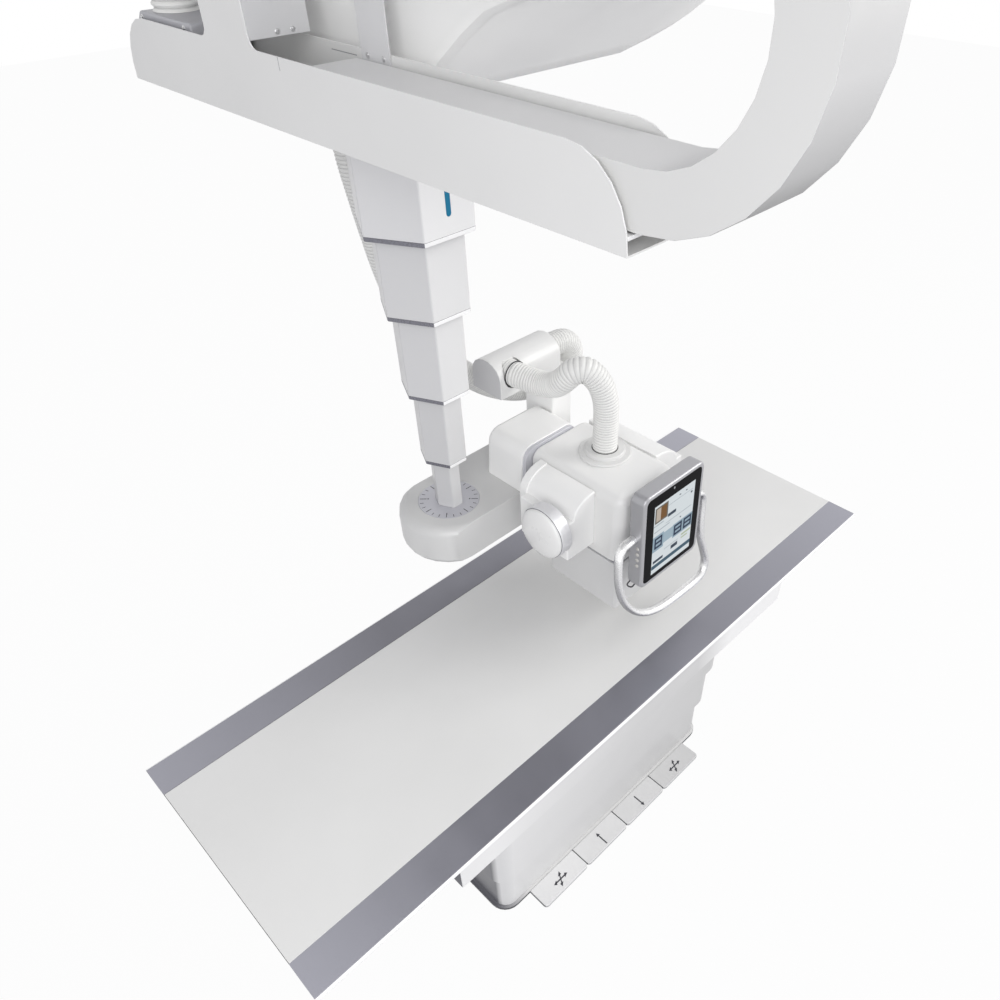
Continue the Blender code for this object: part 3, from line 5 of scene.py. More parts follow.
import bmesh
import bpy
from mathutils import Matrix, Vector


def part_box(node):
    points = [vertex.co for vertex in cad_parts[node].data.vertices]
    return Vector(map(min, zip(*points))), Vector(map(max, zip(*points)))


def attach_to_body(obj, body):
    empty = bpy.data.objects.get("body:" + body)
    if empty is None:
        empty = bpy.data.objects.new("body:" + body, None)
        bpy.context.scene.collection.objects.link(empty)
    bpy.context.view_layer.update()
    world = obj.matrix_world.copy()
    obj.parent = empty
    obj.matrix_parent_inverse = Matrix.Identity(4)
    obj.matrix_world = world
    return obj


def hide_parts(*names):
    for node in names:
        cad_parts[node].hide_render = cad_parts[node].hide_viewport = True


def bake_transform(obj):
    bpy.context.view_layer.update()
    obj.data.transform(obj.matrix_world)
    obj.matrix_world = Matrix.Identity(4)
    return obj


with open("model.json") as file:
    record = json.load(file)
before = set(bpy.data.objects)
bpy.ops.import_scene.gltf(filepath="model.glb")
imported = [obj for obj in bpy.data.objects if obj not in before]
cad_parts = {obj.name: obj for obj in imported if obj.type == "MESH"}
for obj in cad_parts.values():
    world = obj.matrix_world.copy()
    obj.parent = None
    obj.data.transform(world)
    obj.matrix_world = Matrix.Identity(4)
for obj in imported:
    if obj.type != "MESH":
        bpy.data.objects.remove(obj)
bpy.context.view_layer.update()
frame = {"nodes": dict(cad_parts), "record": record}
NODE_BODY = {n: b for b, members in frame["record"]["behaviour"]["bodies"].items() for n in members}

# Camera: solved from the photograph.
CAMERA_AT = Vector((-1.189, -1.187, 2.616))
CAMERA_PITCH, CAMERA_YAW, CAMERA_ROLL = math.radians(42.97), math.radians(44.5), math.radians(-0.18)
CAMERA_LENS = 28.75
CAMERA_SENSOR = 36.0
CAMERA_SHIFT = (-0.0589, 0.0627)
CAMERA_CLIP = (0.05, 60.0)


def make_camera():
    data = bpy.data.cameras.new("photo_camera")
    data.sensor_width = CAMERA_SENSOR
    data.lens = CAMERA_LENS
    data.shift_x, data.shift_y = CAMERA_SHIFT
    data.clip_start, data.clip_end = CAMERA_CLIP
    level = math.cos(CAMERA_PITCH)
    ahead = Vector((math.cos(CAMERA_YAW) * level, math.sin(CAMERA_YAW) * level, -math.sin(CAMERA_PITCH)))
    right = Vector((math.sin(CAMERA_YAW), -math.cos(CAMERA_YAW), 0.0))
    up = right.cross(ahead)
    side = math.cos(CAMERA_ROLL) * right + math.sin(CAMERA_ROLL) * up
    top = -math.sin(CAMERA_ROLL) * right + math.cos(CAMERA_ROLL) * up
    camera = bpy.data.objects.new("photo_camera", data)
    turn = Matrix((side, top, -ahead)).transposed().to_4x4()
    camera.matrix_world = Matrix.Translation(CAMERA_AT) @ turn
    bpy.context.scene.collection.objects.link(camera)
    bpy.context.scene.camera = camera


make_camera()


# Materials.


def shader_of(name):
    made = bpy.data.materials.new(name)
    made.use_nodes = True
    return made, made.node_tree, made.node_tree.nodes["Principled BSDF"]


def add(tree, kind, operation):
    """Adds a maths node."""
    node = tree.nodes.new(kind)
    node.operation = operation
    return node


def noise(tree, scale, detail=3.0):
    place = tree.nodes.new("ShaderNodeTexCoord")
    found = tree.nodes.new("ShaderNodeTexNoise")
    found.inputs["Scale"].default_value = scale
    found.inputs["Detail"].default_value = detail
    tree.links.new(place.outputs["Object"], found.inputs["Vector"])
    return found


RAMP_ENDS = (0.35, 0.65)
SLOW_SCALE, PATCH_SCALE, METAL_GRAIN, SCREEN_GRAIN = 2.3, 11.0, 420.0, 700.0


def ramp(tree, source, low, high):
    """Maps a noise's middle values onto the range between two numbers or two colours."""
    colours = tree.nodes.new("ShaderNodeValToRGB")
    ends = colours.color_ramp.elements
    for end, value in zip(ends, (low, high)):
        end.color = (value, value, value, 1.0) if isinstance(value, float) else (*value, 1.0)
    ends[0].position, ends[1].position = RAMP_ENDS
    tree.links.new(source, colours.inputs["Fac"])
    return colours.outputs["Color"]


def bump(tree, shader, height, strength, distance):
    made = tree.nodes.new("ShaderNodeBump")
    made.inputs["Strength"].default_value = strength
    made.inputs["Distance"].default_value = distance
    tree.links.new(height, made.inputs["Height"])
    tree.links.new(made.outputs["Normal"], shader.inputs["Normal"])


def tinted(colour, amount):
    return tuple(min(1.0, c * amount) for c in colour)


def measured(tree, output, axis):
    """The mesh's own position or normal along one axis."""
    place = tree.nodes.new("ShaderNodeTexCoord")
    split = tree.nodes.new("ShaderNodeSeparateXYZ")
    tree.links.new(place.outputs[output], split.inputs[0])
    return split.outputs["XYZ"[axis]]


def gradient(tree, value, low, high, stops):
    """Colours by where a value lies between low and high. stops holds (share, colour)."""
    share = tree.nodes.new("ShaderNodeMapRange")
    share.inputs["From Min"].default_value = low
    share.inputs["From Max"].default_value = high
    tree.links.new(value, share.inputs["Value"])
    colours = tree.nodes.new("ShaderNodeValToRGB")
    marks = colours.color_ramp.elements
    marks[0].position, marks[1].position = stops[0][0], stops[-1][0]
    for position, _ in stops[1:-1]:
        marks.new(position)
    for mark, (_, colour) in zip(marks, stops):
        mark.color = (*colour, 1.0)
    tree.links.new(share.outputs["Result"], colours.inputs["Fac"])
    return colours.outputs["Color"]


def coated(name, colour, roughness=0.42, grain=900.0, depth=0.00006, mottle=0.02, coat=0.0):
    """Painted or moulded surface: faint orange peel, slow change of tone and of gloss."""
    made, tree, shader = shader_of(name)
    slow = noise(tree, SLOW_SCALE)
    tree.links.new(ramp(tree, slow.outputs["Fac"], tinted(colour, 1 - mottle), tinted(colour, 1 + mottle)),
                   shader.inputs["Base Color"])
    patch = noise(tree, PATCH_SCALE, 4.0)
    tree.links.new(ramp(tree, patch.outputs["Fac"], roughness - 0.04, roughness + 0.04),
                   shader.inputs["Roughness"])
    fine = noise(tree, grain, 2.0)
    bump(tree, shader, fine.outputs["Fac"], 0.35, depth)
    shader.inputs["Coat Weight"].default_value = coat
    shader.inputs["Coat Roughness"].default_value = 0.25
    return made


def metal(name, colour, roughness, metallic=1.0, mottle=0.015):
    """Metal with a fine even grain."""
    made, tree, shader = shader_of(name)
    grain = noise(tree, METAL_GRAIN)
    tree.links.new(ramp(tree, grain.outputs["Fac"], tinted(colour, 1 - mottle), tinted(colour, 1 + mottle)),
                   shader.inputs["Base Color"])
    tree.links.new(ramp(tree, grain.outputs["Fac"], roughness - 0.05, roughness + 0.05),
                   shader.inputs["Roughness"])
    bump(tree, shader, grain.outputs["Fac"], 0.10, 0.00003)
    shader.inputs["Metallic"].default_value = metallic
    return made


def greys(tones, blue=1.0):
    """Stops of a gradient from pairs of share and tone, with the blue raised where asked."""
    return [(share, (tone, tone, tone * blue)) for share, tone in tones]


def graded(made, output, axis, low, high, stops):
    """Gives a material a base colour that changes along an axis."""
    tree = made.node_tree
    colour = tree.nodes["Principled BSDF"].inputs["Base Color"]
    tree.links.new(gradient(tree, measured(tree, output, axis), low, high, stops), colour)
    return made


def glowing(name, colour, glow, strength):
    """Surface with a light of its own."""
    made, tree, shader = shader_of(name)
    fine = noise(tree, SCREEN_GRAIN, 2.0)
    tree.links.new(ramp(tree, fine.outputs["Fac"], tinted(colour, 0.96), tinted(colour, 1.04)),
                   shader.inputs["Base Color"])
    shader.inputs["Roughness"].default_value = 0.4
    shader.inputs["Specular IOR Level"].default_value = 0.12
    shader.inputs["Emission Color"].default_value = (*glow, 1.0)
    shader.inputs["Emission Strength"].default_value = strength
    return made


WHITE = (0.76, 0.76, 0.75)
HOSE_TINT = (0.84, 0.84, 0.82)
# Grey for the hoses' dips: painted shade in the hollows between the ribs.
DIP_SHADE_GREY = (0.68, 0.68, 0.67)


# Mesh helpers.


MERGE_DISTANCE = 2e-6
FLAT_ANGLE = math.radians(0.4)


def add_object(name, mesh, *mats):
    obj = bpy.data.objects.new(name, mesh)
    bpy.context.scene.collection.objects.link(obj)
    for mat in mats:
        mesh.materials.append(mat)
    return obj


def from_bmesh(name, bm, mat, smooth=38.0, weighted=False, accents=()):
    """Object from a bmesh. accents holds further materials, each with a test that picks its faces."""
    mats = [mat]
    bm.normal_update()
    for number, (further, chosen) in enumerate(accents, 1):
        mats.append(further)
        for face in bm.faces:
            if chosen(face):
                face.material_index = number
    mesh = bpy.data.meshes.new(name)
    bm.to_mesh(mesh)
    bm.free()
    mesh.shade_smooth()
    mesh.set_sharp_from_angle(angle=math.radians(smooth))
    obj = add_object(name, mesh, *mats)
    if weighted:
        normals = obj.modifiers.new("normals", "WEIGHTED_NORMAL")
        normals.keep_sharp = True
        normals.weight = 90
    return obj


def band(bm, low, high):
    """Faces between two closed loops that have as many points."""
    made = []
    for k in range(len(low)):
        after = (k + 1) % len(low)
        made.append(bm.faces.new((low[k], low[after], high[after], high[k])))
    return made


def attach(piece, body):
    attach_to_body(piece, body)
    return piece


def dress(node, mat, bevel=0.0012, segments=2, angle=32.0, smooth=44.0, accents=(), rides=True, where=None):
    """The CAD node's own form with its points merged, its edges softened and its fillets smooth."""
    bm = bmesh.new()
    bm.from_mesh(frame["nodes"][node].data)
    bmesh.ops.remove_doubles(bm, verts=bm.verts, dist=MERGE_DISTANCE)
    bmesh.ops.dissolve_limit(bm, angle_limit=FLAT_ANGLE, verts=bm.verts, edges=bm.edges)
    bmesh.ops.recalc_face_normals(bm, faces=bm.faces)
    if bevel > 0:
        chosen = [e for e in bm.edges if len(e.link_faces) == 2
                  and e.calc_face_angle(0.0) > math.radians(angle) and (where is None or where(e))]
        bmesh.ops.bevel(bm, geom=chosen, offset=bevel, offset_type="OFFSET", segments=segments, profile=0.5,
                        affect="EDGES", clamp_overlap=True)
    piece = from_bmesh(node + "_finish", bm, mat, smooth, True, accents)
    if rides:
        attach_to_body(piece, NODE_BODY[node])
    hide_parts(node)
    return piece


def turned(bm, centre, axis, profile, sides=24, ring=False):
    """Adds a turned form. profile holds (radius, distance along the axis) and is closed for a ring."""
    out = Vector(axis).normalized()
    side = out.orthogonal().normalized()
    across = out.cross(side)
    rings = []
    for radius, along in profile:
        loop = []
        for k in range(sides):
            a = 2 * math.pi * k / sides
            spoke = side * math.cos(a) + across * math.sin(a)
            loop.append(bm.verts.new(Vector(centre) + out * along + spoke * radius))
        rings.append(loop)
    pairs = list(zip(rings, rings[1:]))
    if ring:
        pairs.append((rings[-1], rings[0]))
    made = []
    for low, high in pairs:
        made += band(bm, low, high)
    if not ring:
        made.append(bm.faces.new(rings[0][::-1]))
        made.append(bm.faces.new(rings[-1]))
    bmesh.ops.recalc_face_normals(bm, faces=made)


def flat_piece(name, outlines, place, depth, mat, body):
    """Flat outlines raised by a depth. place turns (across, up, out) into a point of the frame."""
    bm = bmesh.new()
    for outline in outlines:
        low = [bm.verts.new(place(u, v, 0.0)) for u, v in outline]
        top = [bm.verts.new(place(u, v, depth)) for u, v in outline]
        bm.faces.new(low[::-1])
        bm.faces.new(top)
        band(bm, low, top)
    bmesh.ops.recalc_face_normals(bm, faces=bm.faces)
    return attach(from_bmesh(name, bm, mat, 30.0), body)


def oblong(u0, v0, u1, v1):
    return [(u0, v0), (u1, v0), (u1, v1), (u0, v1)]


# Cords: three ribbed hoses, on the routes of the CAD.


CURVE_STEPS = 48


def smooth_route(route, spacing):
    """Evenly spaced points on a Catmull-Rom curve through the route."""
    points = [Vector(p) for p in route]
    padded = [2 * points[0] - points[1]] + points + [2 * points[-1] - points[-2]]
    dense = []
    for i in range(1, len(padded) - 2):
        p0, p1, p2, p3 = padded[i - 1 : i + 3]
        for step in range(CURVE_STEPS):
            t = step / CURVE_STEPS
            dense.append(0.5 * (2 * p1 + (p2 - p0) * t + (2 * p0 - 5 * p1 + 4 * p2 - p3) * t * t
                                + (3 * p1 - p0 - 3 * p2 + p3) * t * t * t))
    dense.append(points[-1])
    lengths = [0.0]
    for a, b in zip(dense, dense[1:]):
        lengths.append(lengths[-1] + (b - a).length)
    count = max(2, round(lengths[-1] / spacing))
    found, index = [], 0
    for i in range(count + 1):
        wanted = lengths[-1] * i / count
        while index < len(dense) - 2 and lengths[index + 1] < wanted:
            index += 1
        span = lengths[index + 1] - lengths[index]
        share = (wanted - lengths[index]) / span if span else 0.0
        found.append(dense[index].lerp(dense[index + 1], min(1.0, share)))
    return found, lengths[-1]


RIB_STEPS = 8
RIB_SIDES = 44
RIB_ROUNDING = 0.6
DIP_STEPS = (3, 4)


def ribbed_tube(name, points, radius, depth, pitch_steps, mat, first=0, last=None, dip_painted_shade=None):
    """Tube with a rounded rib every few of its points, closed at both ends. The material given for the dips
    paints shade into them.

    It runs from the first to the last of the points that it is given.
    """
    last = len(points) - 1 if last is None else last
    bm = bmesh.new()
    rings = []
    dips = set()
    normal = None
    for i, point in enumerate(points):
        before, after = points[max(i - 1, 0)], points[min(i + 1, len(points) - 1)]
        heading = (after - before).normalized()
        if normal is None:
            normal = heading.orthogonal().normalized()
        normal = (normal - heading * normal.dot(heading)).normalized()
        if not first <= i <= last:
            continue
        side = heading.cross(normal)
        wave = 0.5 + 0.5 * math.cos(2 * math.pi * i / pitch_steps)
        r = radius - depth * (1 - wave ** RIB_ROUNDING)
        ring = [point + (normal * math.cos(a) + side * math.sin(a)) * r
                for a in (2 * math.pi * k / RIB_SIDES for k in range(RIB_SIDES))]
        rings.append([bm.verts.new(p) for p in ring])
    for i, (low, high) in enumerate(zip(rings, rings[1:])):
        faces = band(bm, low, high)
        if (first + i) % pitch_steps in DIP_STEPS:
            dips.update(faces)
    bm.faces.new(rings[0][::-1])
    bm.faces.new(rings[-1])
    accents = () if dip_painted_shade is None else ((dip_painted_shade, lambda face: face in dips),)
    return from_bmesh(name, bm, mat, 60.0, accents=accents)


HOSE_R, HOSE_DEPTH, HOSE_PITCH = 0.0355, 0.0026, 0.0088
SUPPLY_R, SUPPLY_DEPTH, SUPPLY_PITCH = 0.045, 0.0050, 0.0122
COLUMN_ROUTE = [
    (-0.138, 0.500, 2.2547), (-0.138, 0.500, 2.160), (-0.135, 0.500, 2.070), (-0.122, 0.500, 1.980),
    (-0.104, 0.500, 1.878), (-0.086, 0.500, 1.790), (-0.060, 0.500, 1.700), (-0.020, 0.498, 1.606),
    (0.045, 0.492, 1.505), (0.120, 0.485, 1.420), (0.200, 0.480, 1.350), (0.285, 0.474, 1.300),
    (0.355, 0.458, 1.283), (0.408, 0.425, 1.305), (0.433, 0.388, 1.350), (0.436, 0.3565, 1.400),
    (0.424, 0.3465, 1.443), (0.392, 0.3445, 1.473), (0.350, 0.3445, 1.480), (0.300, 0.3445, 1.479),
    (0.1903, 0.3445, 1.479),
]
HEAD_ROUTE = [
    (0.138, 0.3147, 1.489), (0.138, 0.299, 1.489), (0.138, 0.283, 1.489), (0.142, 0.262, 1.488),
    (0.151, 0.225, 1.486), (0.158, 0.190, 1.488), (0.161, 0.150, 1.502), (0.158, 0.115, 1.532),
    (0.167, 0.087, 1.563), (0.189, 0.061, 1.566), (0.213, 0.038, 1.530), (0.229, 0.028, 1.472),
    (0.236, 0.030, 1.400), (0.236, 0.030, 1.350), (0.236, 0.030, 1.3076),
]
SUPPLY_AT = (-0.368, 0.661, 2.3453)
SUPPLY_CLIMB = 0.3544
SUPPLY_ROUTE = [(SUPPLY_AT[0], SUPPLY_AT[1] + dy, SUPPLY_AT[2] + SUPPLY_CLIMB * share) for dy, share in (
    (0.0, 0.0), (0.0, 0.08), (0.0, 0.16), (-0.007, 0.32), (-0.036, 0.50), (-0.072, 0.66), (-0.080, 0.78),
    (-0.080, 0.88), (-0.080, 1.0))]
# The column hose has three stretches. The upper one runs down to this share of its length.
SPLIT_SHARE = 0.42
# The lower one runs on from there to the last stretch.
# The last one rides on the arm, from this point of the route on.
FOLLOW_POINT = 12


def hose_materials(name):
    """Off-white plastic for the ribs, and a grey for the dips that paints the shade in them."""
    return (coated(name + "_plastic", HOSE_TINT, roughness=0.5, grain=500.0, mottle=0.015),
            coated(name + "_dips_painted_shade", DIP_SHADE_GREY, roughness=0.6, grain=500.0, mottle=0.015))


def declare_hose(node):
    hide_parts(node)


def make_hoses():
    step = HOSE_PITCH / RIB_STEPS
    points, length = smooth_route(COLUMN_ROUTE, step)
    split = round(len(points) * SPLIT_SHARE / RIB_STEPS) * RIB_STEPS
    goal = Vector(COLUMN_ROUTE[FOLLOW_POINT])
    nearest = min(range(len(points)), key=lambda k: (points[k] - goal).length)
    follow = round(nearest / RIB_STEPS) * RIB_STEPS
    mat, dips = hose_materials("hose_column")
    last = len(points) - 1
    made = []
    for name, first, end in (("upper", 0, split), ("lower", split, follow), ("end", follow, last)):
        piece = ribbed_tube("hose_column_" + name, points, HOSE_R, HOSE_DEPTH, RIB_STEPS, mat,
                            first, end, dips)
        declare_hose("hose_column")
        made.append(piece)
    upper, lower, rest = made
    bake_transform(upper)
    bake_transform(lower)
    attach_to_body(rest, "arm")
    points, length = smooth_route(HEAD_ROUTE, step)
    mat, dips = hose_materials("hose_head")
    head = ribbed_tube("hose_head_ribbed", points, HOSE_R, HOSE_DEPTH, RIB_STEPS, mat, dip_painted_shade=dips)
    declare_hose("hose_head")
    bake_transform(head)
    points, _ = smooth_route(SUPPLY_ROUTE, SUPPLY_PITCH / RIB_STEPS)
    mat, dips = hose_materials("supply_hose")
    supply = ribbed_tube("supply_hose_ribbed", points, SUPPLY_R, SUPPLY_DEPTH, RIB_STEPS, mat, dip_painted_shade=dips)
    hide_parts("supply_hose")
    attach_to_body(supply, "bridge")


make_hoses()


# Finishes of the CAD forms.


POD_WHITE = (0.92, 0.92, 0.91)
RISER_WHITE = (0.95, 0.95, 0.94)
TUNNEL_WHITE = (0.82, 0.82, 0.81)
ARM_WHITE = (0.71, 0.71, 0.705)
HEAD_WHITE = (0.89, 0.89, 0.88)
COLLIMATOR_WHITE = (0.68, 0.68, 0.68)
SHROUD_WHITE = (0.93, 0.93, 0.92)
TROUGH_WHITE = (0.82, 0.82, 0.81)
BASE_WHITE = (0.71, 0.71, 0.705)
BASE_SHADE = (0.14, 0.14, 0.16)
# Painted shade on the base: its tone darkens from -X to +X, and its faces that look to -X are darkened to
# near black.
BASE_PAINTED_SHADE_TONES = ((0.0, 0.80), (0.5, 0.67), (1.0, 0.60))
BASE_X = (-0.50, 0.50)
END_SHADE = (0.18, 0.18, 0.20)
END_PAINTED_SHADE_STOPS = ((0.0, END_SHADE), (0.01, END_SHADE), (0.05, (0.58, 0.58, 0.59)), (0.16, (1.0, 1.0, 1.0)))
RIM_X = (-0.52, -0.40)
FRAME_PAINT = (0.83, 0.83, 0.82)
FRAME_X = (-0.70, 0.70)
# Tones along X for the float frame's front face: painted light and shade.
FRAME_PAINTED_LIGHT_TONES = ((0.07, 0.87), (0.20, 0.78), (0.50, 0.64), (0.68, 0.64), (0.80, 0.93))
CHAIN_Z = (2.25, 2.50)
CHAIN_CENTRE, CHAIN_MIDLINE = (-0.573, 2.466), 0.18
# Tones up the chain's outer band: painted shade, darkest at the bottom.
CHAIN_PAINTED_SHADE_TONES = ((0.0, 0.16), (0.23, 0.39), (0.40, 0.53), (0.76, 0.63), (1.0, 0.54))
RAIL_X = (-1.12, 1.12)
RAIL_BLUE = 1.13
RAIL_LIP_Y = 0.394
# Rail tones along X: painted reflection and shade.
FAR_RAIL_PAINTED_LIGHT_TONES = ((0.0, 0.35), (0.33, 0.20), (0.55, 0.25), (1.0, 0.42))
NEAR_RAIL_PAINTED_LIGHT_TONES = ((0.0, 0.39), (0.31, 0.24), (0.52, 0.32), (0.64, 0.26), (1.0, 0.375))
# The four pedals are one plastic, set darker one after another along the row as painted shade.
PEDAL_PAINTED_SHADE_WHITES = (0.79, 0.74, 0.69, 0.64)
PANEL_WHITE = (0.775, 0.775, 0.765)
# The column's stages are one paint, set darker from stage 1 to stage 5 as painted shade.
STAGE_PAINTED_SHADE_WHITES = (0.86, 0.78, 0.775, 0.725, 0.70)
# Near white, for the painted highlight on the trough's cut edges, the painted reflection on the seal strips,
# and the trough's liner.
EDGE_WHITE = (0.95, 0.95, 0.95)
SHEET_T = 0.0025


def faces_along(axis, sign):
    """Test for the faces that look along an axis."""
    return lambda face: face.normal[axis] * sign > 0.8


def sheet_edge(face):
    """Test for the narrow cut edges of the trough's two side walls."""
    (x0, _, _), (x1, _, _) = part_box("cable_trough")
    reach = SHEET_T * 1.05
    left = all(vert.co.x < x0 + reach for vert in face.verts)
    right = all(vert.co.x > x1 - reach for vert in face.verts)
    return abs(face.normal.x) < 0.6 and (left or right)


def rail_lip(face):
    """Test for the rail's outer lip with its rounded upper edge, whose faces get a painted highlight."""
    return abs(face.normal.y) > 0.3 and abs(face.calc_center_median().y) > RAIL_LIP_Y


def rail_rim(edge):
    return all(abs(vert.co.y) > RAIL_LIP_Y for vert in edge.verts)


def outer_band(face):
    """Test for the outer face of the energy chain's band."""
    if abs(face.normal.x) > 0.5:
        return False
    centre = face.calc_center_median()
    up = centre.z - CHAIN_CENTRE[1]
    ahead = min(0.0, centre.y - CHAIN_CENTRE[0])
    return math.hypot(ahead, up) > CHAIN_MIDLINE


def inner_band(face):
    return abs(face.normal.x) < 0.5 and not outer_band(face)


def base_paint(name):
    """The base's paint with painted shade: a little darker towards +X, and deep painted shade on the end that
    looks to -X.
    """
    made = graded(coated(name, BASE_WHITE, 0.38), "Object", 0, *BASE_X, greys(BASE_PAINTED_SHADE_TONES))
    tree = made.node_tree
    colour = tree.nodes["Principled BSDF"].inputs["Base Color"]
    shade = gradient(tree, measured(tree, "Normal", 0), -1.0, 0.0, END_PAINTED_SHADE_STOPS)
    both = add(tree, "ShaderNodeVectorMath", "MULTIPLY")
    tree.links.new(colour.links[0].from_socket, both.inputs[0])
    tree.links.new(shade, both.inputs[1])
    tree.links.new(both.outputs[0], colour)
    return made


def rail_alloy(name, tones):
    """Satin alloy with painted reflection and shade, darker halfway along the table than at its ends. tones
    holds (share, tone).
    """
    alloy = coated(name, (0.3, 0.3, 0.33), 0.34, depth=0.00002)
    made = graded(alloy, "Object", 0, *RAIL_X, greys(tones, RAIL_BLUE))
    made.node_tree.nodes["Principled BSDF"].inputs["Metallic"].default_value = 0.75
    return made


def dress_table():
    for node in ("base_lower_skirt", "base_mid_skirt", "base_upper_skirt"):
        dress(node, base_paint(node + "_paint"), 0.0020)
    foot = coated("base_plate_foot", (0.05, 0.05, 0.06), 0.5)
    # Painted shade: the base plate's rim darkens to near black towards its -X end.
    rim = graded(coated("base_plate_paint", BASE_WHITE, 0.38), "Object", 0, *RIM_X,
                 ((0.0, BASE_SHADE), (1.0, BASE_WHITE)))
    dress("base_plate", rim, 0.0015, accents=((foot, lambda face: abs(face.normal.z) < 0.8),))
    for node in ("lift_mast", "lift_frame"):
        dress(node, metal(node + "_steel", (0.30, 0.31, 0.33), 0.4), 0.0010)
    for number in range(1, 5):
        node = "pedal_%d" % number
        tone = PEDAL_PAINTED_SHADE_WHITES[number - 1]
        # Painted shade: each pedal's sides are grey, and the side that looks to -X, towards the next pedal,
        # is near black.
        edge = coated(node + "_edge", (0.52, 0.52, 0.53), 0.5)
        slit_painted_shade = coated(node + "_slit", (0.12, 0.12, 0.13), 0.5)
        dress(node, coated(node + "_plastic", (tone, tone, tone), 0.4), 0.0006,
              accents=((edge, lambda face: abs(face.normal.z) < 0.3), (slit_painted_shade, faces_along(0, -1))))
    # Painted shade: the float frame's faces that look to -X are near black, and its front face is painted
    # lighter and darker along X for light and shade.
    frame_end_painted_shade = coated("float_frame_end", (0.11, 0.11, 0.13), 0.5)
    front = graded(coated("float_frame_front_painted_light", FRAME_PAINT, 0.4), "Object", 0, *FRAME_X, greys(FRAME_PAINTED_LIGHT_TONES))
    dress("float_frame", coated("float_frame_paint", FRAME_PAINT, 0.4), 0.0015,
          accents=((frame_end_painted_shade, faces_along(0, -1)), (front, faces_along(1, -1))))
    dress("detector_tray", coated("detector_tray_paint", (0.25, 0.26, 0.28), 0.4), 0.0010)
    core = coated("tabletop_core", (0.03, 0.03, 0.035), 0.5)
    laminate = coated("tabletop_laminate", PANEL_WHITE, 0.36, grain=1500.0, depth=0.00003)
    dress("tabletop_panel", laminate, 0.0014, accents=((core, lambda face: abs(face.normal.x) > 0.3),))
    # Painted highlight: the rails' outer lips are near white.
    lip = coated("table_rail_lip_painted_highlight", (0.98, 0.98, 0.98), 0.4)
    for node, tones in (("table_rail_far", FAR_RAIL_PAINTED_LIGHT_TONES), ("table_rail_near", NEAR_RAIL_PAINTED_LIGHT_TONES)):
        dress(node, rail_alloy(node + "_alloy", tones), 0.0024, accents=((lip, rail_lip),), where=rail_rim)


def dress_ceiling_side():
    for node in ("ceiling_rail_front", "ceiling_rail_rear"):
        dress(node, coated(node + "_anodised", (0.46, 0.47, 0.49), 0.5), 0.0010)
    for node, bevel in (("bridge_beam_left", 0.0012), ("bridge_beam_right", 0.0012),
                        ("end_truck_front", 0.0020), ("end_truck_rear", 0.0020)):
        dress(node, coated(node + "_paint", WHITE, 0.4), bevel)
    # Painted highlight: the trough's cut sheet edges are near white.
    cut_edge_painted_highlight = coated("sheet_edge_painted_highlight", EDGE_WHITE, 0.4)
    trough = coated("cable_trough_paint", TROUGH_WHITE, 0.42)
    dress("cable_trough", trough, 0.0005, accents=((cut_edge_painted_highlight, sheet_edge),))
    for node in ("trough_cross_plate", "trough_strap"):
        dress(node, coated(node + "_paint", (0.72, 0.72, 0.73), 0.42), 0.0006)
    # Painted shade: the chain's outer band darkens towards the bottom, and its inner faces get a paler copy
    # of the chain's plastic, painted light.
    band_painted_shade = graded(coated("energy_chain_band_painted_shade", (0.5, 0.5, 0.5), 0.5), "Object", 2, *CHAIN_Z,
                     greys(CHAIN_PAINTED_SHADE_TONES))
    lining = coated("energy_chain_lining", (0.80, 0.80, 0.80), 0.5)
    plastic = coated("energy_chain_plastic", WHITE, 0.5)
    chain = dress("energy_chain", plastic, 0.0010, smooth=30.0,
                  accents=((band_painted_shade, outer_band), (lining, inner_band)), rides=False)
    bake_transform(chain)
    dress("supply_clamp", coated("supply_clamp_paint", (0.46, 0.46, 0.49), 0.4), 0.0020)
    dress("carriage_frame", metal("carriage_frame_steel", (0.45, 0.46, 0.48), 0.4), 0.0010)
    dress("pod_cover", coated("pod_cover_plastic", POD_WHITE, 0.36), 0.0015)


def dress_column():
    for number in range(1, 6):
        node = "column_stage_%d" % number
        lit = STAGE_PAINTED_SHADE_WHITES[number - 1]
        # Painted shade: each stage is darker on its faces that look to -X.
        paint = graded(coated(node + "_paint", (lit, lit, lit), 0.34, coat=0.15), "Normal", 0, -1.0, 0.2,
                       ((0.0, (lit * 0.88, lit * 0.88, lit * 0.89)), (1.0, (lit, lit, lit))))
        dress(node, paint, 0.0008, angle=60)
    for number in range(1, 5):
        node = "column_seal_%d" % number
        # Painted reflection: each seal strip's faces that look to -Y are near white.
        seal_painted_reflection = coated(node + "_front", EDGE_WHITE, 0.3)
        dress(node, metal(node + "_strip", (0.20, 0.20, 0.23), 0.3, metallic=0.6), 0.0012, angle=60,
              accents=((seal_painted_reflection, faces_along(1, -1)),))
    dress("indicator_lens", glowing("indicator_blue", (0.01, 0.10, 0.18), (0.02, 0.22, 0.38), 0.35), 0.0008)


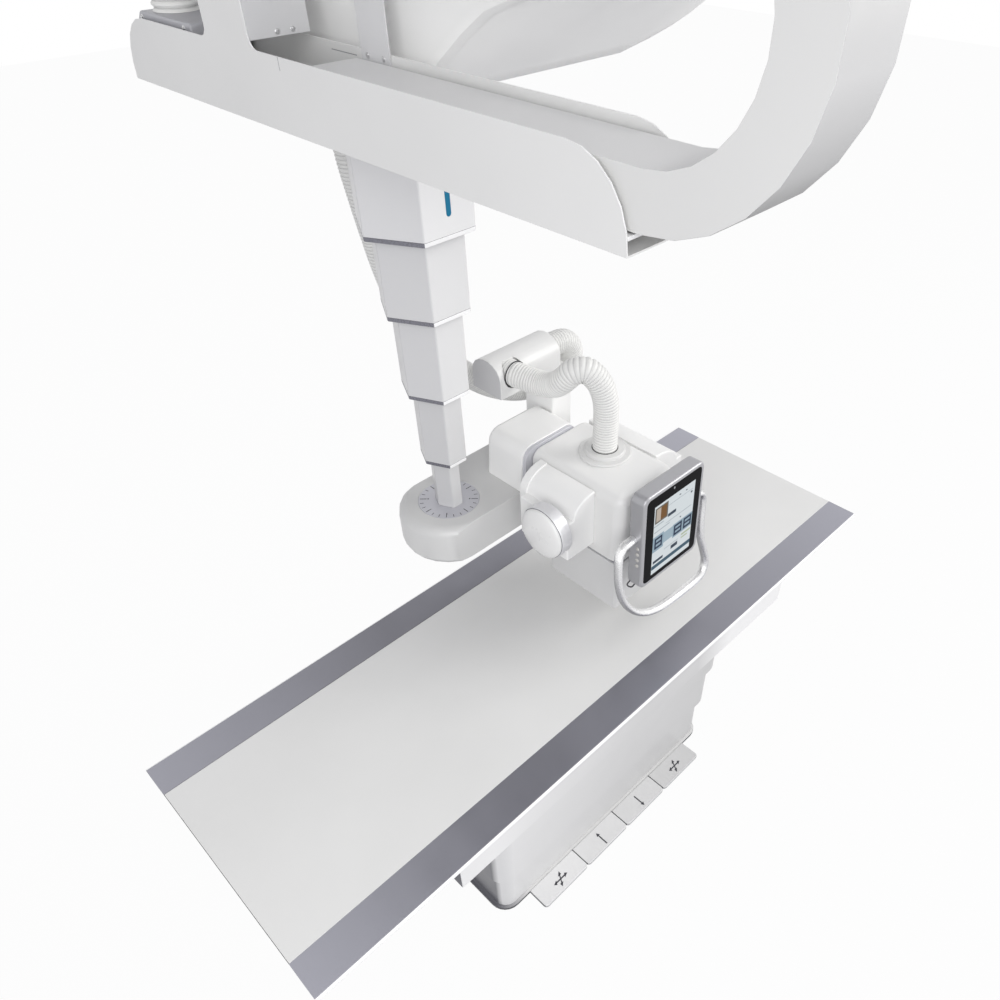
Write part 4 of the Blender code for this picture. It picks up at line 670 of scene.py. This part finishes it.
def dress_arm_and_head():
    dress("rotation_dial", metal("rotation_dial_alloy", (0.56, 0.56, 0.60), 0.42, metallic=0.35), 0.0006)
    cap = coated("hose_tunnel_cap", (0.58, 0.58, 0.59), 0.45)
    # Painted shade: the arm housing is darker on its faces that look up.
    arm = graded(coated("arm_housing_paint", ARM_WHITE, 0.36, coat=0.1), "Normal", 2, 0.2, 0.9,
                 ((0.0, ARM_WHITE), (1.0, (0.65, 0.65, 0.645))))
    dress("arm_housing", arm, 0.0012, angle=50)
    capped = ((cap, faces_along(0, -1)),)
    for node, tone, ends in (("riser_housing", RISER_WHITE, ()), ("hose_post", RISER_WHITE, ()),
                             ("hose_tunnel", TUNNEL_WHITE, capped)):
        dress(node, coated(node + "_paint", tone, 0.36, coat=0.1), 0.0012, angle=50, accents=ends)
    dress("head_flange", metal("head_flange_alloy", (0.66, 0.66, 0.70), 0.45, metallic=0.4), 0.0010)
    dress("head_bearing", metal("head_bearing_steel", (0.5, 0.5, 0.52), 0.3), 0.0010)
    # Painted shade: the head housing is darker on its faces that look to -X.
    head = graded(coated("head_housing_paint", HEAD_WHITE, 0.36, coat=0.1), "Normal", 0, -1.0, -0.3,
                  ((0.0, (0.80, 0.80, 0.79)), (1.0, HEAD_WHITE)))
    dress("head_housing", head, 0.0012, angle=50)
    collimator = coated("collimator_housing_paint", COLLIMATOR_WHITE, 0.36, coat=0.1)
    dress("collimator_housing", collimator, 0.0012, angle=50)
    dress("hose_gland", coated("hose_gland_paint", WHITE, 0.45), 0.0012, angle=50)
    for node in ("tube_shroud_left", "tube_shroud_right"):
        dress(node, coated(node + "_paint", SHROUD_WHITE, 0.36, coat=0.1), 0.0034, 3, angle=40)
    dress("tube_cap_ring", metal("tube_cap_ring_satin", (0.74, 0.74, 0.76), 0.34, metallic=0.55), 0.0005)
    dress("tube_cap", coated("tube_cap_plastic", (0.88, 0.88, 0.87), 0.3, coat=0.2), 0.0, smooth=60)
    dress("collimator_collar", coated("collimator_collar_plastic", (0.30, 0.30, 0.33), 0.5), 0.0006)
    dress("display_mount", coated("display_mount_paint", WHITE, 0.4), 0.0015)
    # Painted reflection: the handle's colour is dark where it looks down, grey where it looks sideways and
    # brightest where it looks a little upward.
    steel = graded(metal("grab_handle_painted_reflection", (0.7, 0.7, 0.7), 0.28, metallic=0.8), "Normal", 2, -0.6, 1.0,
                   ((0.0, (0.30, 0.30, 0.32)), (0.36, (0.50, 0.50, 0.52)), (0.62, (0.92, 0.92, 0.92)),
                    (1.0, (0.80, 0.80, 0.80))))
    dress("grab_handle", steel, 0.0, smooth=60)


dress_table()
dress_ceiling_side()
dress_column()
dress_arm_and_head()


# Display: a rounded bezel round a black glass, with a made-up screen of plain blocks, bars and digits.


DISPLAY_PIVOT = Vector((0.0, -0.183, 1.346))
DISPLAY_X = (0.096, 0.352)
DISPLAY_H = 0.312
DISPLAY_T = 0.048
DISPLAY_TILT = math.radians(2.0)
GLASS_MARGIN = 0.0125
SCREEN_X = (0.141, 0.314)
SCREEN_UP = (-0.2835, -0.0455)
CORNER_STEPS = 7


def on_display(x, up, out):
    """Point of the display: up from its tilted top edge, out from its back."""
    rise = Vector((0.0, math.sin(DISPLAY_TILT), math.cos(DISPLAY_TILT)))
    ahead = Vector((0.0, -math.cos(DISPLAY_TILT), math.sin(DISPLAY_TILT)))
    return DISPLAY_PIVOT + Vector((x, 0.0, 0.0)) + rise * up + ahead * out


def rounded_slab(name, rings, mat, node, smooth=40.0):
    """Slab with round corners, lofted through (inset from the bezel's outline, height out, corner radius)."""
    bm = bmesh.new()
    loops = []
    for inset, out, radius in rings:
        x0, x1 = DISPLAY_X[0] + inset + radius, DISPLAY_X[1] - inset - radius
        low, high = -DISPLAY_H + inset + radius, -inset - radius
        loop = []
        for corner, (x, up) in enumerate(((x1, high), (x0, high), (x0, low), (x1, low))):
            for k in range(CORNER_STEPS + 1):
                a = math.radians(90 * (corner + k / CORNER_STEPS))
                at = on_display(x + radius * math.cos(a), up + radius * math.sin(a), out)
                loop.append(bm.verts.new(at))
        loops.append(loop)
    for low, high in zip(loops, loops[1:]):
        band(bm, low, high)
    bm.faces.new(loops[0][::-1])
    bm.faces.new(loops[-1])
    bmesh.ops.recalc_face_normals(bm, faces=bm.faces)
    piece = from_bmesh(name, bm, mat, smooth, weighted=True)
    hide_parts(node)
    return attach(piece, NODE_BODY[node])


def glass_black(name):
    made = coated(name, (0.003, 0.003, 0.004), 0.30, depth=0.00001)
    made.node_tree.nodes["Principled BSDF"].inputs["Specular IOR Level"].default_value = 0.03
    return made


def lit_eight(u, v, wide, tall, stroke):
    """The seven bars of a lit figure 8, in shares of the screen."""
    half = tall / 2
    side = stroke * 1.2
    bars = (
        (u, v, u + wide, v + stroke),
        (u + wide - side, v, u + wide, v + half),
        (u + wide - side, v + half, u + wide, v + tall),
        (u, v + tall - stroke, u + wide, v + tall),
        (u, v + half, u + side, v + tall),
        (u, v, u + side, v + half),
        (u, v + half - stroke / 2, u + wide, v + half + stroke / 2),
    )
    return [oblong(*bar) for bar in bars]


SCREEN_LAYERS = (
    ("ground", (0.80, 0.86, 0.89), [(0.0, 0.0, 1.0, 1.0)]),
    ("band_pale", (0.34, 0.46, 0.55), [(0.50, 0.455, 1.0, 0.655), (0.0, 0.440, 0.27, 0.665)]),
    ("band_steel", (0.40, 0.52, 0.60), [(0.27, 0.465, 0.50, 0.620)]),
    ("rule_grey", (0.48, 0.54, 0.58), [(0.0, 0.275, 0.24, 0.290), (0.34, 0.10, 0.95, 0.108),
                                       (0.30, 0.335, 0.95, 0.345), (0.02, 0.365, 0.40, 0.380),
                                       (0.30, 0.725, 0.66, 0.735)]),
    ("block_edge", (0.16, 0.15, 0.13), [(0.02, 0.03, 0.33, 0.25)]),
    ("block_left", (0.58, 0.50, 0.42), [(0.050, 0.050, 0.155, 0.228)]),
    ("block_right", (0.20, 0.09, 0.02), [(0.155, 0.050, 0.300, 0.228)]),
    ("label_dark", (0.04, 0.06, 0.09), [(0.34, 0.225, 0.54, 0.270), (0.48, 0.755, 0.65, 0.810),
                                        (0.03, 0.805, 0.28, 0.845), (0.60, 0.052, 0.64, 0.065),
                                        (0.76, 0.052, 0.80, 0.065), (0.90, 0.125, 0.94, 0.150),
                                        (0.66, 0.395, 0.69, 0.410)]),
    ("label_green", (0.50, 0.58, 0.40), [(0.74, 0.690, 0.98, 0.715), (0.74, 0.740, 0.90, 0.760)]),
    ("bar_blue", (0.05, 0.11, 0.16), [(0.0, 0.872, 1.0, 0.930)]),
)
SCREEN_DIGITS = (
    (0.040, 0.468, 0.19, 0.160, 0.030), (0.525, 0.475, 0.205, 0.155, 0.031),
    (0.770, 0.475, 0.205, 0.155, 0.031),
)
LAYER_STEP = 0.00006
PANE_INSET, POCKET_DEPTH = 0.0005, 0.014
LENS_UP, LENS_SHIFT = -0.0225, -0.004


def make_display():
    alloy = metal("display_bezel_alloy", (0.42, 0.42, 0.44), 0.42, metallic=0.65, mottle=0.008)
    front, pocket = DISPLAY_T, DISPLAY_T - POCKET_DEPTH
    rounded_slab("display_bezel_finish", (
        (0.0060, 0.0, 0.016), (0.0020, 0.0012, 0.020), (0.0, 0.0050, 0.022), (0.0, front - 0.0075, 0.022),
        (0.0008, front - 0.0040, 0.0215), (0.0028, front - 0.0014, 0.020), (0.0060, front, 0.018),
        (GLASS_MARGIN - 0.0012, front, 0.0155), (GLASS_MARGIN - 0.0004, front - 0.0006, 0.015),
        (GLASS_MARGIN - 0.0004, pocket, 0.015)), alloy, "display_bezel", 50.0)
    rounded_slab("display_glass_finish", (
        (GLASS_MARGIN, pocket + 0.0003, 0.015), (GLASS_MARGIN, front - 0.0010, 0.015),
        (GLASS_MARGIN + 0.0004, front - PANE_INSET, 0.0148)), glass_black("display_glass_black"),
        "display_glass")
    body = NODE_BODY["display_glass"]
    wide, tall = SCREEN_X[1] - SCREEN_X[0], SCREEN_UP[1] - SCREEN_UP[0]
    base = front - PANE_INSET

    def placed_at(level):
        return lambda u, v, out: on_display(SCREEN_X[0] + wide * u, SCREEN_UP[1] - tall * v,
                                            base + LAYER_STEP * level + out)

    for level, (name, colour, boxes) in enumerate(SCREEN_LAYERS):
        mat = glowing("screen_" + name, tinted(colour, 0.12), tinted(colour, 0.66), 1.0)
        outlines = [oblong(*corners) for corners in boxes]
        flat_piece("screen_" + name, outlines, placed_at(level), LAYER_STEP, mat, body)
    digits = [bar for sizes in SCREEN_DIGITS for bar in lit_eight(*sizes)]
    mat = glowing("screen_digits", (0.01, 0.015, 0.03), (0.01, 0.02, 0.04), 1.0)
    flat_piece("screen_digits", digits, placed_at(len(SCREEN_LAYERS)), LAYER_STEP, mat, body)
    lens_x = sum(DISPLAY_X) / 2 + LENS_SHIFT
    bm = bmesh.new()
    turned(bm, on_display(lens_x, LENS_UP, base), on_display(0, 0, 1) - on_display(0, 0, 0),
           [(0.0034, 0.0), (0.0034, 0.0003), (0.0022, 0.0005), (0.0008, 0.0005)])
    lens = from_bmesh("display_lens", bm, coated("display_lens_grey", (0.30, 0.31, 0.33), 0.2))
    attach(lens, body)


KEY_UP, KEY_PITCH, KEY_IN = -0.1675, 0.0200, 0.016
KEY_PROFILE = ((0.0058, -0.0004), (0.0058, 0.0005), (0.0050, 0.0016), (0.0034, 0.0026), (0.0014, 0.0030))
CLIP_WIRE_R, CLIP_SPACING = 0.0021, 0.0012
CLIP_ROUTE = (
    (0.106, 0.020, 0.012), (0.0985, 0.016, 0.010), (0.0950, 0.006, 0.005), (0.0945, -0.004, 0.002),
    (0.0965, -0.009, 0.007), (0.0990, -0.006, 0.016), (0.1030, 0.002, 0.020), (0.108, 0.006, 0.022),
)


def make_keys_and_clip():
    """Four pearl keys down the bezel's left side, and the wire clip under its lower corner."""
    body = NODE_BODY["display_bezel"]
    pearl = coated("display_key_pearl", (0.58, 0.57, 0.54), 0.25, coat=0.3)
    bm = bmesh.new()
    for k in range(4):
        centre = on_display(DISPLAY_X[0], KEY_UP - KEY_PITCH * k, DISPLAY_T - KEY_IN)
        turned(bm, centre, (-1, 0, 0), KEY_PROFILE)
    attach(from_bmesh("display_keys", bm, pearl, 50.0), body)
    route = [on_display(x, up - DISPLAY_H, out) for x, up, out in CLIP_ROUTE]
    points, _ = smooth_route(route, CLIP_SPACING)
    black = coated("clip_black", (0.03, 0.03, 0.035), 0.4)
    wire = ribbed_tube("display_clip_wire", points, CLIP_WIRE_R, 0.0, 1, black)
    attach(wire, body)


make_display()
make_keys_and_clip()


# Marks: the dial's ticks, the pedals' arrows and pins, dark rings of painted shade in the gaps round the
# hoses, and the dark joint round the dome.


MARK_DEPTH = 0.0003
DIAL_AT = (-0.107, 0.325)
INK = (0.045, 0.045, 0.055)
TICK_OUTER, DOT_AT, DOT_R, DOT_SIDES = 0.0845, 0.0605, 0.0023, 16


def dial_marks():
    """Ticks every 15 degrees, longer every 45, and two round index dots."""
    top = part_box("rotation_dial")[1][2]
    ink = coated("dial_ink", (0.06, 0.06, 0.07), 0.5)
    ticks = []
    for k in range(24):
        a = math.radians(15 * k)
        inner, half = (0.0655, 0.0011) if k % 3 == 0 else (0.0740, 0.0009)
        along, across = (math.cos(a), math.sin(a)), (-math.sin(a), math.cos(a))
        ticks.append([(along[0] * r + across[0] * w, along[1] * r + across[1] * w)
                      for r, w in ((inner, -half), (TICK_OUTER, -half), (TICK_OUTER, half), (inner, half))])
    for turn in (135, -45):
        a = math.radians(turn)
        x, y = DOT_AT * math.cos(a), DOT_AT * math.sin(a)
        ticks.append([(x + DOT_R * math.cos(b), y + DOT_R * math.sin(b))
                      for b in (2 * math.pi * k / DOT_SIDES for k in range(DOT_SIDES))])

    def on_dial(u, v, out):
        return DIAL_AT[0] + u, DIAL_AT[1] + v, top + out

    flat_piece("dial_ticks", ticks, on_dial, MARK_DEPTH, ink, NODE_BODY["rotation_dial"])


ARROW_HALF, HEAD_LENGTH, HEAD_HALF = 0.0023, 0.0125, 0.0072
ARROW_SLANT = 0.57
ICON_BACK = 0.0050
PIN_ACROSS, PIN_BACK = 0.0008, 0.0022
PIN_PROFILE = ((0.0019, -0.010), (0.0019, 0.0), (0.0013, 0.0005))
GAP_PROFILE = ((0.0352, -0.002), (0.0352, 0.0003), (0.0378, 0.0003), (0.0378, -0.002))
# Near black for the painted shade in the hose gaps, and a dark grey for the dome's seam.
GAP_PAINTED_SHADE, SEAM_DARK = (0.05, 0.05, 0.055), (0.16, 0.16, 0.18)
GAP_SIDES, SEAM_SIDES = 44, 72


def four_way(reach_x, reach_y):
    """Four arrows from one middle, of which the second pair leans."""
    points = []
    for k in range(4):
        reach = reach_y if k % 2 else reach_x
        neck = reach - HEAD_LENGTH
        c, s = round(math.cos(math.pi / 2 * k)), round(math.sin(math.pi / 2 * k))
        points += [(a * c - w * s, a * s + w * c) for a, w in (
            (neck, -ARROW_HALF), (neck, -HEAD_HALF), (reach, 0.0), (neck, HEAD_HALF), (neck, ARROW_HALF),
            (ARROW_HALF, ARROW_HALF))]
    return [(x + ARROW_SLANT * y, y) for x, y in points]


def one_way(reach, sign):
    """One arrow towards +Y or -Y."""
    neck = reach - HEAD_LENGTH
    outline = ((-reach, -ARROW_HALF), (neck, -ARROW_HALF), (neck, -HEAD_HALF), (reach, 0.0),
               (neck, HEAD_HALF), (neck, ARROW_HALF), (-reach, ARROW_HALF))
    return [(w, a * sign) for a, w in outline]


def pedal_marks():
    ink = coated("pedal_ink", INK, 0.5)
    crossed = four_way(0.031, 0.0235)
    icons = (crossed, one_way(0.0262, 1), one_way(0.0250, -1), crossed)
    for number, icon in enumerate(icons, 1):
        node = "pedal_%d" % number
        (x0, y0, _), (x1, y1, top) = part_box(node)
        x, y = (x0 + x1) / 2, (y0 + y1) / 2 - ICON_BACK
        flat_piece(node + "_arrows", [icon], lambda u, v, out: (x + u, y + v, top + out), MARK_DEPTH, ink,
                   NODE_BODY[node])
    pins = bmesh.new()
    for number in range(1, 4):
        _, (x1, y1, top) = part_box("pedal_%d" % number)
        turned(pins, (x1 + PIN_ACROSS, y1 - PIN_BACK, top), (0, 0, 1), PIN_PROFILE, 16)
    attach(from_bmesh("pedal_seam_pins", pins, ink), "installation")


def hose_joints():
    """Thin dark rings of painted shade in the gaps where the hoses leave the gland and the tunnel."""
    gland_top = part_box("hose_gland")[1][2]
    tunnel_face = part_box("hose_tunnel")[0][1]
    gland_x, gland_y, _ = HEAD_ROUTE[-1]
    hole_x, _, hole_z = HEAD_ROUTE[0]
    for name, at, axis, node in (("gland_gap", (gland_x, gland_y, gland_top), (0, 0, 1), "hose_gland"),
                                 ("tunnel_gap", (hole_x, tunnel_face, hole_z), (0, -1, 0), "hose_tunnel")):
        bm = bmesh.new()
        turned(bm, at, axis, GAP_PROFILE, GAP_SIDES, ring=True)
        attach(from_bmesh(name, bm, coated(name + "_dark", GAP_PAINTED_SHADE, 0.6)), NODE_BODY[node])


def dome_seam():
    """Thin dark line round the dome at the end of the tube housing."""
    (_, y0, z0), (x1, y1, z1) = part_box("tube_cap")
    radius = (y1 - y0) / 2
    bm = bmesh.new()
    profile = [(radius - 0.0003, -0.0002), (radius - 0.0003, 0.0006), (radius + 0.0014, 0.0006),
               (radius + 0.0014, -0.0002)]
    turned(bm, (x1, (y0 + y1) / 2, (z0 + z1) / 2), (-1, 0, 0), profile, SEAM_SIDES, ring=True)
    seam = from_bmesh("tube_cap_seam", bm, coated("tube_cap_seam_dark", SEAM_DARK, 0.5))
    attach(seam, "tube_head")


dial_marks()
pedal_marks()
hose_joints()
dome_seam()


# Trough: the liner under the chain, screws, and marks of painted shade for a slot and a notch in the walls.


SCREW_STEEL = (0.70, 0.70, 0.71)


def screws(name, places, axis, radius, body):
    """Hexagon heads on washers."""
    bm = bmesh.new()
    for at in places:
        turned(bm, at, axis, [(radius * 1.5, -0.0005), (radius * 1.5, 0.0006), (radius * 1.35, 0.0010)], 20)
        turned(bm, at, axis, [(radius, 0.0008), (radius, radius * 0.75), (radius * 0.85, radius * 0.9)], 6)
    attach(from_bmesh(name, bm, metal(name + "_steel", SCREW_STEEL, 0.35)), body)


LINER_LOW, LINER_HIGH, LINER_END = 0.0230, 0.0252, 0.150
STRAP_SCREWS, STRAP_SCREW_Z = (0.0795, 0.1235), 2.3290
PLATE_SCREWS, PLATE_SCREW_Z = (-0.3790, -0.3490), 2.3545
CLAMP_SCREW_IN, CLAMP_SCREW_DOWN = 0.026, 0.010
SCREW_R, CLAMP_SCREW_R = 0.0030, 0.0036
SLOT = (0.1600, 2.3230, 0.2350, 2.3244)
NOTCH = (0.1862, 2.3165, 0.1874, 2.3355)
SLOT_DEPTH = 0.0002


def make_trough_parts():
    """The liner under the chain, the screws, and flat dark marks on the two walls that paint the shade of a
    slot and a notch.
    """
    (x0, y0, low), (x1, _, _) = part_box("cable_trough")
    inner = (x0 + SHEET_T + 0.0003, x1 - SHEET_T - 0.0003)
    shelf_low, shelf_high = low + LINER_LOW, low + LINER_HIGH
    bm = bmesh.new()
    profile = [(y0 + 0.0022, shelf_low - 0.0030), (y0 + 0.0022, shelf_high), (LINER_END, shelf_high),
               (LINER_END, shelf_low), (y0 + 0.0044, shelf_low), (y0 + 0.0044, shelf_low - 0.0030)]
    sides = [[bm.verts.new((x, y, z)) for y, z in profile] for x in inner]
    bm.faces.new(sides[0])
    bm.faces.new(sides[1][::-1])
    band(bm, *sides)
    bmesh.ops.recalc_face_normals(bm, faces=bm.faces)
    liner = from_bmesh("trough_liner", bm, coated("trough_liner_paint", EDGE_WHITE, 0.4))
    attach(liner, "bridge")
    strap_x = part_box("trough_strap")[0][0]
    places = [(strap_x, y, STRAP_SCREW_Z) for y in STRAP_SCREWS]
    screws("strap_screws", places, (-1, 0, 0), SCREW_R, "bridge")
    plate_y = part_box("trough_cross_plate")[0][1]
    places = [(x, plate_y, PLATE_SCREW_Z) for x in PLATE_SCREWS]
    screws("cross_plate_screws", places, (0, -1, 0), SCREW_R, "bridge")
    (left, near, _), (_, far, top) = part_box("supply_clamp")
    places = [(left, y, top - CLAMP_SCREW_DOWN) for y in (near + CLAMP_SCREW_IN, far - CLAMP_SCREW_IN)]
    screws("clamp_screws", places, (-1, 0, 0), CLAMP_SCREW_R, "bridge")
    # Painted shade: flat dark marks stand for the shade in the wall's slot and notch.
    dark = coated("slot_painted_shade", (0.34, 0.34, 0.36), 0.6)
    wall = x1 - SHEET_T
    for name, box, at in (("trough_wall_slot", SLOT, wall), ("trough_wall_notch", NOTCH, x0)):
        flat_piece(name, [oblong(*box)], lambda u, v, out: (at - out, u, v), SLOT_DEPTH, dark, "bridge")


make_trough_parts()


# Studio.


FLOOR_SIZE, FLOOR_DROP = 14.0, 0.0008
FLOOR_PALE = (0.52, 0.52, 0.54, 1.0)
FLOOR_WHITE_SHARE = 0.965
AMBIENT, AMBIENT_STRENGTH = (0.97, 0.97, 1.0, 1.0), 0.54


def area_light(name, at, towards, size, power, colour=(1.0, 1.0, 1.0)):
    data = bpy.data.lights.new(name, "AREA")
    data.shape = "RECTANGLE"
    data.size, data.size_y = size
    data.energy = power
    data.color = colour
    lamp = bpy.data.objects.new(name, data)
    lamp.location = at
    lamp.rotation_mode = "QUATERNION"
    lamp.rotation_quaternion = (Vector(towards) - Vector(at)).to_track_quat("-Z", "Y")
    bpy.context.scene.collection.objects.link(lamp)


def seen_directly(tree):
    """1 where the camera, a mirror or glass looks, else 0."""
    path = tree.nodes.new("ShaderNodeLightPath")
    first = add(tree, "ShaderNodeMath", "MAXIMUM")
    both = add(tree, "ShaderNodeMath", "MAXIMUM")
    tree.links.new(path.outputs["Is Camera Ray"], first.inputs[0])
    tree.links.new(path.outputs["Is Glossy Ray"], first.inputs[1])
    tree.links.new(first.outputs[0], both.inputs[0])
    tree.links.new(path.outputs["Is Transmission Ray"], both.inputs[1])
    return both.outputs[0]


def white_to_camera(tree, surface):
    """Mixes a surface towards plain white where it is seen directly."""
    amount = add(tree, "ShaderNodeMath", "MULTIPLY")
    amount.inputs[1].default_value = FLOOR_WHITE_SHARE
    tree.links.new(seen_directly(tree), amount.inputs[0])
    white = tree.nodes.new("ShaderNodeEmission")
    white.inputs["Color"].default_value = (1.0, 1.0, 1.0, 1.0)
    mix = tree.nodes.new("ShaderNodeMixShader")
    tree.links.new(amount.outputs[0], mix.inputs[0])
    tree.links.new(surface, mix.inputs[1])
    tree.links.new(white.outputs[0], mix.inputs[2])
    return mix.outputs[0]


def make_studio():
    scene = bpy.context.scene
    scene.view_settings.view_transform = "Standard"
    bm = bmesh.new()
    bmesh.ops.create_grid(bm, x_segments=1, y_segments=1, size=FLOOR_SIZE)
    bmesh.ops.translate(bm, verts=bm.verts, vec=(0, 0, -FLOOR_DROP))
    made, tree, shader = shader_of("studio_floor_pale")
    shader.inputs["Base Color"].default_value = FLOOR_PALE
    shader.inputs["Roughness"].default_value = 0.9
    shader.inputs["Specular IOR Level"].default_value = 0.0
    out = tree.nodes["Material Output"]
    tree.links.new(white_to_camera(tree, shader.outputs[0]), out.inputs["Surface"])
    floor = from_bmesh("studio_floor", bm, made)
    world = bpy.data.worlds.new("studio_world")
    scene.world = world
    world.use_nodes = True
    tree = world.node_tree
    out = tree.nodes["World Output"]
    ambient = tree.nodes["Background"]
    ambient.inputs["Color"].default_value = AMBIENT
    ambient.inputs["Strength"].default_value = AMBIENT_STRENGTH
    white = tree.nodes.new("ShaderNodeBackground")
    white.inputs["Color"].default_value = (1.0, 1.0, 1.0, 1.0)
    white.inputs["Strength"].default_value = 1.0
    mix = tree.nodes.new("ShaderNodeMixShader")
    tree.links.new(seen_directly(tree), mix.inputs[0])
    tree.links.new(ambient.outputs[0], mix.inputs[1])
    tree.links.new(white.outputs[0], mix.inputs[2])
    tree.links.new(mix.outputs[0], out.inputs["Surface"])
    area_light("right_light", (4.0, -3.0, 3.6), (0.0, 0.0, 1.2), (3.0, 3.0), 150.0, (1.0, 0.99, 0.97))
    area_light("front_light", (-2.6, -2.4, 3.0), (0.0, 0.1, 1.2), (3.0, 3.0), 76.0)


make_studio()
